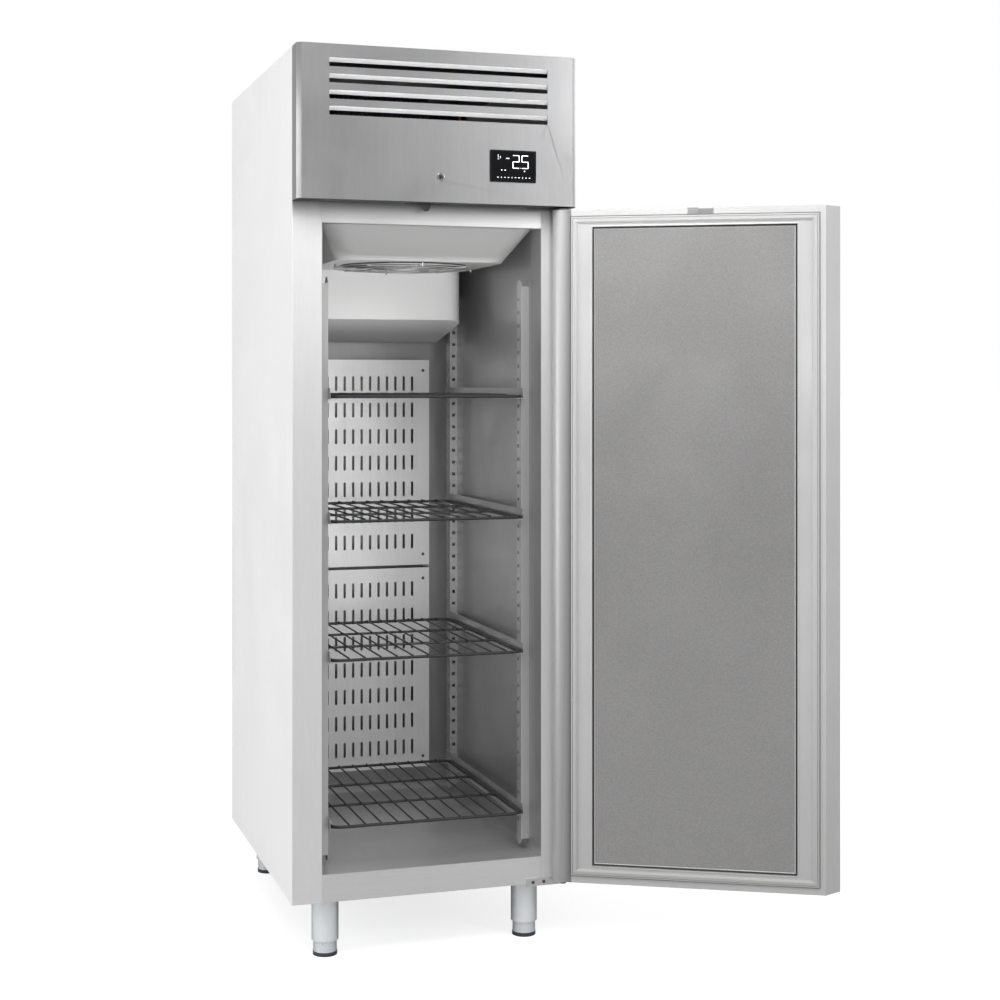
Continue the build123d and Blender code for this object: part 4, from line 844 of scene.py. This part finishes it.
class FanOperator(Operator):
    """Finish the fans and the cooling unit, and make the round wires of the ceiling fan's guard."""

    bl_idname = "refrigerator.fans"
    bl_label = "Fans and guard"

    def execute(self, context):
        sizes = context.scene.refrigerator_sizes
        black = moulded(
            "Black plastic", BLACK_PLASTIC, scale=700.0, rough=(0.35, 0.5), bump=0.15, contrast=0.2,
        )
        dress(black, "evaporator_fan", "condenser_fan", "cable_gland")
        paint = moulded(
            "Black paint", BLACK_PAINT, scale=260.0, rough=(0.25, 0.4), bump=0.1, contrast=0.2, coat=0.3,
        )
        # The condenser shroud's black is its paint and also painted shade behind the louvres
        dress(paint, "evaporator_fan_motor", "condenser_fan_motor", "condenser_shroud", "compressor")
        rubber = moulded("Dark rubber", DARK_RUBBER, scale=500.0, rough=(0.7, 0.85), bump=0.2)
        dress(rubber, "compressor_grommets")
        # Painted shade: the condenser fins are near black, for the dark behind the louvres
        fins = steel("Condenser fins in shade", CONDENSER_FIN_SHADE, VERTICAL, metallic=0.5, rough=(0.4, 0.6))
        dress(fins, "condenser_coil")
        copper = steel("Copper tube", COPPER, DEPTHWISE, metallic=1.0, rough=(0.22, 0.4), contrast=0.12)
        dress(copper, "refrigerant_lines")

        low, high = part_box("fan_guard")
        middle = (Vector(low) + Vector(high)) / 2
        wire = sizes.guard_wire
        outer = (high[0] - low[0]) / 2 - wire / 2
        bottom = low[2] + wire / 2
        drop = high[2] - low[2] - wire
        reach = outer * 0.8
        bm = bmesh.new()
        for number in range(sizes.guard_rings):
            share = number / (sizes.guard_rings - 1)
            height = bottom + drop * 0.55 * (1 - share) ** 2
            wire_hoop(bm, (middle.x, middle.y, height), outer - reach * share, wire / 2)
        for spoke in range(8):
            place = (
                Matrix.Translation((middle.x, middle.y, bottom + wire))
                @ Matrix.Rotation(spoke * math.pi / 4, 4, "Z")
                @ Matrix.Translation((outer - reach / 2, 0, drop * 0.2))
                @ Matrix.Rotation(math.pi / 2, 4, "Y")
            )
            turned_shape(bm, place, (wire / 2, wire / 2), reach, segments=8)
        for post in range(4):
            angle = post * math.pi / 2
            across = middle.x + outer * math.cos(angle)
            back = middle.y + outer * math.sin(angle)
            place = Matrix.Translation((across, back, (bottom + high[2]) / 2))
            turned_shape(bm, place, (wire, wire), high[2] - bottom, segments=12)
        place = Matrix.Translation((middle.x, middle.y, bottom + wire / 4))
        hub = turned_shape(bm, place, (outer * 0.2, outer * 0.22), wire * 1.5, segments=40)
        ease(bm, edges_at(hub), 0.8 * mm, clamp=True)
        zinc = steel("Guard wire", GUARD_WIRE, ACROSS, metallic=0.5, rough=(0.4, 0.55))
        guard = finish_piece(bm, "guard_wires", zinc, "cabinet", smooth=True)
        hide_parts("fan_guard")
        return {"FINISHED"}


class ShelfOperator(Operator):
    """Finish the four wire shelves."""

    bl_idname = "refrigerator.shelves"
    bl_label = "Wire shelves"

    def execute(self, context):
        colour = context.scene.refrigerator_colours.shelf
        coating = moulded("Shelf coating", colour, scale=600.0, rough=(0.5, 0.65), bump=0.15, contrast=0.15)
        dress(coating, "wire_shelf_1", "wire_shelf_2", "wire_shelf_3", "wire_shelf_4")
        return {"FINISHED"}


class DoorOperator(Operator):
    """Finish the door, and make its ribbed gasket and the seam and rim of its inlay."""

    bl_idname = "refrigerator.door"
    bl_label = "Door and gasket"

    def execute(self, context):
        colours = context.scene.refrigerator_colours
        sizes = context.scene.refrigerator_sizes
        place = door_frame()
        along, inward = place.col[0].xyz, place.col[2].xyz
        gasket_low, gasket_high = local_box("door_gasket", place)
        hinge_side = along.dot(place.translation) + gasket_low.x
        gasket_face = inward.dot(place.translation) + gasket_low.z
        outer_face = inward.dot(place.translation) + local_box("door_outer_shell", place)[0].z
        # Painted shade: the door grows darker from 1 m down to 150 mm above the floor
        lower_shade_band = fade(DOWN, 0, start=1000 * mm, full=150 * mm)
        behind_skin = fade(inward, outer_face, start=-2 * mm, full=-8 * mm)
        # Painted shade on the door shell's rounded end at the hinge side, beside the gasket
        turned_edge_shade_bands = (
            fade(along, hinge_side, start=38 * mm, full=0),
            fade(-along, -hinge_side, start=3 * mm, full=1 * mm),
            fade(inward, gasket_face, start=30 * mm, full=8 * mm),
        )

        skin = steel("Door steel", colours.door, VERTICAL, metallic=0.6, rough=(0.4, 0.52), contrast=0.03)
        tint_bands(skin, LOWER_FRAME_SHADE, lower_shade_band)
        dress(skin, "door_inner_frame")
        shell = steel(
            "Door shell steel", colours.door, VERTICAL, metallic=0.5, rough=(0.48, 0.6), contrast=0.03,
        )
        tint_bands(shell, TURNED_EDGE_SHADE, *turned_edge_shade_bands)
        tint_bands(shell, LOWER_SHELL_SHADE, lower_shade_band, behind_skin)
        dress(shell, "door_outer_shell")
        dress(stucco("Stucco sheet", colours.inlay), "door_inner_panel")
        dress(bpy.data.materials["Poured foam"], "door_foam")
        dress(steel("Striker steel", STRIKER_STEEL, ACROSS, metallic=0.9), "door_striker")
        round_edges(sizes.edge_radius, "door_outer_shell", "door_inner_frame", "door_inner_panel")

        seal = moulded("Gasket rubber", colours.gasket, rough=(0.5, 0.65))
        tint_bands(seal, LOWER_GASKET_SHADE, lower_shade_band)
        # Painted shade: the gasket's outer fold is dark grey
        fold = moulded("Gasket fold shade", shade(colours.gasket, 0.2), rough=(0.7, 0.8), bump=0.1, contrast=0.1)
        rise = gasket_high.z - gasket_low.z
        steps = [(across * mm, up * rise, number) for across, up, number in GASKET_STEPS]
        border = (gasket_low.x, gasket_low.y, gasket_high.x, gasket_high.y)
        gasket = door_strip(place, border, gasket_low.z, steps, "gasket_ribs", (seal, fold))
        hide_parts("door_gasket")

        low, high = local_box("door_inner_panel", place)
        gap = sizes.seam_width
        thick = high.z - low.z
        seam_lift = 0.05 * mm
        rim_sink = 0.8 * mm
        # Painted shade: a dark strip in the gap round the inlay
        seam_shade = moulded(
            "Seam painted shade", SEAM_SHADE, scale=700.0, rough=(0.6, 0.75), bump=0.1, contrast=0.1,
        )
        steps = [(gap * across, thick * up, 0) for across, up in SEAM_STEPS]
        border = (low.x - gap, low.y - gap, high.x + gap, high.y + gap)
        door_strip(place, border, low.z + seam_lift, steps, "inlay_seam", (seam_shade,))
        # Painted highlight: a bright steel rim round the inlay's edge
        bright = steel("Inlay rim highlight", RIM_HIGHLIGHT, ACROSS, metallic=0.9, rough=(0.15, 0.25), contrast=0.02)
        steps = [(across * mm, up * mm, 0) for across, up in RIM_STEPS]
        border = (low.x, low.y, high.x, high.y)
        door_strip(place, border, high.z - rim_sink, steps, "inlay_rim", (bright,))
        return {"FINISHED"}


class HeaderOperator(Operator):
    """Finish the header flap and its louvres, and light the display."""

    bl_idname = "refrigerator.header"
    bl_label = "Header and display"

    def execute(self, context):
        colours = context.scene.refrigerator_colours
        sizes = context.scene.refrigerator_sizes
        header_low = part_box("header_panel")[0][2]
        brushed = steel(
            "Header steel", colours.header, VERTICAL, metallic=0.85, rough=(0.3, 0.4), contrast=0.045,
            bump=0.06,
        )
        # Painted shade: the header's underside and lowest 1.2 mm are near black
        tint_bands(brushed, HEADER_UNDERSIDE_SHADE, fade(DOWN, -header_low, start=1.6 * mm, full=1.2 * mm))
        dress(brushed, "header_panel")
        round_edges(sizes.edge_radius, "header_panel", "controller_bezel")
        fins = moulded("Louvre paint", LOUVRE_PAINT, rough=(0.3, 0.4), bump=0.06, contrast=0.03)
        dress(fins, "louvre_fins")
        bezel = moulded("Bezel plastic", BEZEL_BLACK, rough=(0.35, 0.45), bump=0.1, specular=0.1)
        dress(bezel, "controller_bezel")
        glass = moulded(
            "Display glass", GLASS_BLACK, scale=60.0, rough=(0.08, 0.14), bump=0.0, contrast=0.1,
            specular=0.14,
        )
        dress(glass, "display_window")

        low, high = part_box("display_window")
        wide = high[0] - low[0]
        tall = high[2] - low[2]
        face_y = low[1] - 0.15 * mm
        stroke = sizes.digit_stroke
        bm = bmesh.new()

        def bar(u, v, width, height):
            """One lit bar, centred at u and v from the window's lower left corner."""
            spot = Matrix.Translation((low[0] + u, face_y, low[2] + v)) @ FACING_FRONT
            corners = panel_plane(bm, width, height, spot)
            ease(bm, corners, min(width, height) * 0.3, affect="VERTICES", clamp=True)

        def figure(u, v, lit):
            """One figure of seven strokes, from its lower left corner."""
            w, h = sizes.digit_width, sizes.digit_height
            strokes = {
                "top": (w / 2, h, w, stroke),
                "middle": (w / 2, h / 2, w, stroke),
                "foot": (w / 2, 0, w, stroke),
                "left_high": (0, h * 0.75, stroke, h / 2),
                "right_high": (w, h * 0.75, stroke, h / 2),
                "left_low": (0, h * 0.25, stroke, h / 2),
                "right_low": (w, h * 0.25, stroke, h / 2),
            }
            for name in lit:
                du, dv, across, up = strokes[name]
                bar(u + du, v + dv, across, up)

        base = tall * 0.44
        figure(wide * 0.49, base, ("top", "right_high", "middle", "left_low", "foot"))
        figure(wide * 0.7, base, ("top", "left_high", "middle", "right_low", "foot"))
        decimal_point = (wide * 0.675, base, stroke, stroke)
        minus_sign = (wide * 0.37, base + sizes.digit_height * 0.75, wide * 0.075, stroke)
        dots = [
            (wide * 0.23, tall * 0.36, 2.4 * mm, 2.4 * mm),
            (wide * 0.31, tall * 0.36, 2.4 * mm, 2.4 * mm),
            (wide * 0.76, tall * 0.34, 2.6 * mm, 2.6 * mm),
        ]
        ladder = [(wide * 0.15, tall * (0.74 + 0.065 * step), 2.8 * mm, 1.1 * mm) for step in range(3)]
        ladder.append((wide * 0.2, tall * 0.8, 1.0 * mm, 5.2 * mm))
        lower_row = []
        for step in range(10):
            upright = step % 3 == 1
            width, height = (0.9 * mm, 3.4 * mm) if upright else (3.4 * mm, 1.2 * mm)
            lower_row.append((wide * (0.14 + 0.082 * step), tall * 0.11, width, height))
        for u, v, width, height in (decimal_point, minus_sign, *dots, *ladder, *lower_row):
            bar(u, v, width, height)
        bmesh.ops.solidify(bm, geom=bm.faces[:], thickness=0.1 * mm)
        lit = glow("Display figures", colours.display, strength=1.3)
        finish_piece(bm, "display_figures", lit, "header_flap")
        return {"FINISHED"}


class HardwareOperator(Operator):
    """Finish the lock, hinges and legs, and make the screw heads with their crosses."""

    bl_idname = "refrigerator.hardware"
    bl_label = "Lock, hinges, screws and legs"

    def execute(self, context):
        sizes = context.scene.refrigerator_sizes
        chrome = steel(
            "Polished chrome", CHROME, ACROSS, metallic=1.0, rough=(0.14, 0.22), contrast=0.02, bump=0.0,
        )
        dress(chrome, "lock_barrel")
        tongue = steel("Tongue steel", TONGUE_STEEL, ACROSS, metallic=0.8, rough=(0.25, 0.4), contrast=0.06)
        dress(tongue, "lock_cam")
        # Painted shade: the upper hinge bracket is a darkened copy of the zinc plate
        shaded_zinc = steel("Zinc in painted shade", SHADED_ZINC, ACROSS, metallic=0.85, rough=(0.3, 0.45), contrast=0.06)
        dress(shaded_zinc, "upper_hinge_bracket")
        zinc = steel("Zinc plated steel", ZINC_PLATE, ACROSS, metallic=0.85, rough=(0.25, 0.4), contrast=0.06)
        dress(zinc, "lower_hinge_bracket", "flap_hinge_fixed", "flap_hinge_moving")

        tube = steel("Leg tube", LEG_TUBE, VERTICAL, metallic=0.5, rough=(0.2, 0.3), contrast=0.02)
        foot = steel("Foot steel", FOOT_STEEL, ACROSS, metallic=0.5, rough=(0.25, 0.35), contrast=0.03)
        # Painted shade: tubes and feet darken where their surface turns away from the view
        for finish in (tube, foot):
            slope = finish.node_tree.nodes.new("ShaderNodeLayerWeight")
            slope.inputs["Blend"].default_value = 0.35
            tint(finish, slope.outputs["Facing"], TUBE_SIDE_SHADE)
        tint_bands(foot, FOOT_PAD, fade(DOWN, -sizes.pad_height, start=0, full=-0.2 * mm))
        dress(tube, "leg_sleeves")
        dress(foot, "foot_front_left", "foot_front_right", "foot_rear_left", "foot_rear_right")

        widest_screw = 10 * mm
        bm = bmesh.new()
        recesses = bmesh.new()
        for low, high in islands("case_screws"):
            if high.x - low.x > widest_screw:
                pin_nut(bm, low, high)
            else:
                screw_head(bm, low, high)
                screw_cross(recesses, low, high, sizes.recess_depth)
        screw = steel(
            "Screw steel", SCREW_STEEL, ACROSS, metallic=0.9, rough=(0.25, 0.4), contrast=0.04, bump=0.02,
        )
        heads = finish_piece(bm, "screw_heads", screw, "cabinet")
        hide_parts("case_screws")
        dark = moulded("Recess shadow", RECESS_SHADE, rough=(0.6, 0.7))
        finish_piece(recesses, "screw_crosses", dark, "cabinet")
        return {"FINISHED"}


class StageOperator(Operator):
    """Set the floor, the lights and the camera."""

    bl_idname = "refrigerator.stage"
    bl_label = "Stage"

    def execute(self, context):
        scene = context.scene
        studio = scene.refrigerator_studio
        floor_side = 300
        floor_drop = 0.5 * mm
        bm = bmesh.new()
        panel_plane(bm, floor_side, floor_side, Matrix.Translation((0, 0, -floor_drop)))
        mesh = bpy.data.meshes.new("studio_floor")
        bm.to_mesh(mesh)
        bm.free()
        floor = bpy.data.objects.new("studio_floor", mesh)
        scene.collection.objects.link(floor)
        paper = moulded("Floor paper", FLOOR_PAPER, scale=40.0, rough=(0.85, 0.95), bump=0.02, contrast=0.01)
        mesh.materials.append(paper)
        tree = paper.node_tree
        seen = tree.nodes.new("ShaderNodeLightPath")
        tree.links.new(seen.outputs["Is Camera Ray"], tree.nodes["Principled BSDF"].inputs["Emission Color"])
        tree.nodes["Principled BSDF"].inputs["Emission Strength"].default_value = studio.floor_white

        def aim(lamp, direction, place=(0, 0, 0)):
            """Puts a lamp in the scene, shining along the direction."""
            holder = bpy.data.objects.new(lamp.name, lamp)
            holder.location = place
            holder.rotation_euler = Vector(direction).to_track_quat("-Z", "Y").to_euler()
            scene.collection.objects.link(holder)

        def soft_box(name, place, target, size, power):
            """A rectangular lamp that shines from its place at the target."""
            lamp = bpy.data.lights.new(name, "AREA")
            lamp.energy = power
            lamp.shape = "RECTANGLE"
            lamp.size, lamp.size_y = size
            aim(lamp, Vector(target) - Vector(place), place)
            return lamp

        soft_box("key_light", (-0.6, -2.3, 3.5), (0, -0.4, 1.6), (1.6, 1.2), studio.key_power)
        soft_box("side_light", (-4.2, -0.2, 1.3), (-0.3, 0, 1.0), (3.2, 3.4), studio.side_power)
        soft_box("fill_light", (2.3, -4.1, 2.6), (0.4, -0.5, 1.6), (0.8, 1.3), studio.fill_power)
        soft_box("rim_light", (3.6, 0.9, 2.2), (0.3, -0.4, 1.6), (1.2, 2.0), studio.rim_power)
        low_lamp = soft_box(
            "louvre_light", (-0.1, -2.6, 0.35), (0, -0.45, 1.9), (1.4, 0.3), studio.louvre_power,
        )
        low_lamp.spread = math.radians(30)
        soft_box(
            "chamber_light", (-0.02, -0.33, 1.08), (-0.02, 0.35, 1.08), (0.42, 0.96), studio.chamber_power,
        )
        sun = bpy.data.lights.new("overhead_light", "SUN")
        sun.energy = studio.overhead
        sun.angle = math.radians(60)
        aim(sun, (0.35, 0.75, -1.25))

        world = bpy.data.worlds.new("Studio")
        world.use_nodes = True
        tree = world.node_tree
        background = tree.nodes["Background"]
        background.inputs["Color"].default_value = (1, 1, 1, 1)
        seen = tree.nodes.new("ShaderNodeLightPath")
        level = tree.nodes.new("ShaderNodeMapRange")
        level.inputs["To Min"].default_value = studio.sky
        level.inputs["To Max"].default_value = 1.0
        tree.links.new(seen.outputs["Is Camera Ray"], level.inputs["Value"])
        tree.links.new(level.outputs["Result"], background.inputs["Strength"])
        scene.world = world

        lens = bpy.data.cameras.new("photo_camera")
        lens.lens = studio.camera_lens
        lens.sensor_width = 36
        lens.shift_x, lens.shift_y = studio.camera_shift
        camera = bpy.data.objects.new("photo_camera", lens)
        camera.location = studio.camera_place
        camera.rotation_euler = (math.pi / 2, 0, studio.camera_turn)
        scene.collection.objects.link(camera)
        scene.camera = camera
        scene.view_settings.view_transform = "Standard"
        return {"FINISHED"}


class RefrigeratorPanel(Panel):
    """Lists the making steps of the refrigerator in the sidebar."""

    bl_idname = "VIEW3D_PT_refrigerator"
    bl_label = "Bakery refrigerator"
    bl_space_type = "VIEW_3D"
    bl_region_type = "UI"
    bl_category = "Refrigerator"

    def draw(self, context):
        for step in OPERATORS:
            self.layout.operator(step.bl_idname)


OPERATORS = (
    StageOperator, CaseOperator, ChamberOperator, FanOperator, ShelfOperator, DoorOperator, HeaderOperator,
    HardwareOperator,
)
CLASSES = (FinishColours, DetailSizes, StudioSettings, *OPERATORS, RefrigeratorPanel)


def register():
    for each in CLASSES:
        bpy.utils.register_class(each)
    bpy.types.Scene.refrigerator_colours = PointerProperty(type=FinishColours)
    bpy.types.Scene.refrigerator_sizes = PointerProperty(type=DetailSizes)
    bpy.types.Scene.refrigerator_studio = PointerProperty(type=StudioSettings)


def unregister():
    del bpy.types.Scene.refrigerator_colours
    del bpy.types.Scene.refrigerator_sizes
    del bpy.types.Scene.refrigerator_studio
    for each in reversed(CLASSES):
        bpy.utils.unregister_class(each)


def main():
    register()
    bpy.ops.refrigerator.stage()
    bpy.ops.refrigerator.case()
    bpy.ops.refrigerator.chamber()
    bpy.ops.refrigerator.fans()
    bpy.ops.refrigerator.shelves()
    bpy.ops.refrigerator.door()
    bpy.ops.refrigerator.header()
    bpy.ops.refrigerator.hardware()


if __name__ == "__main__":
    main()
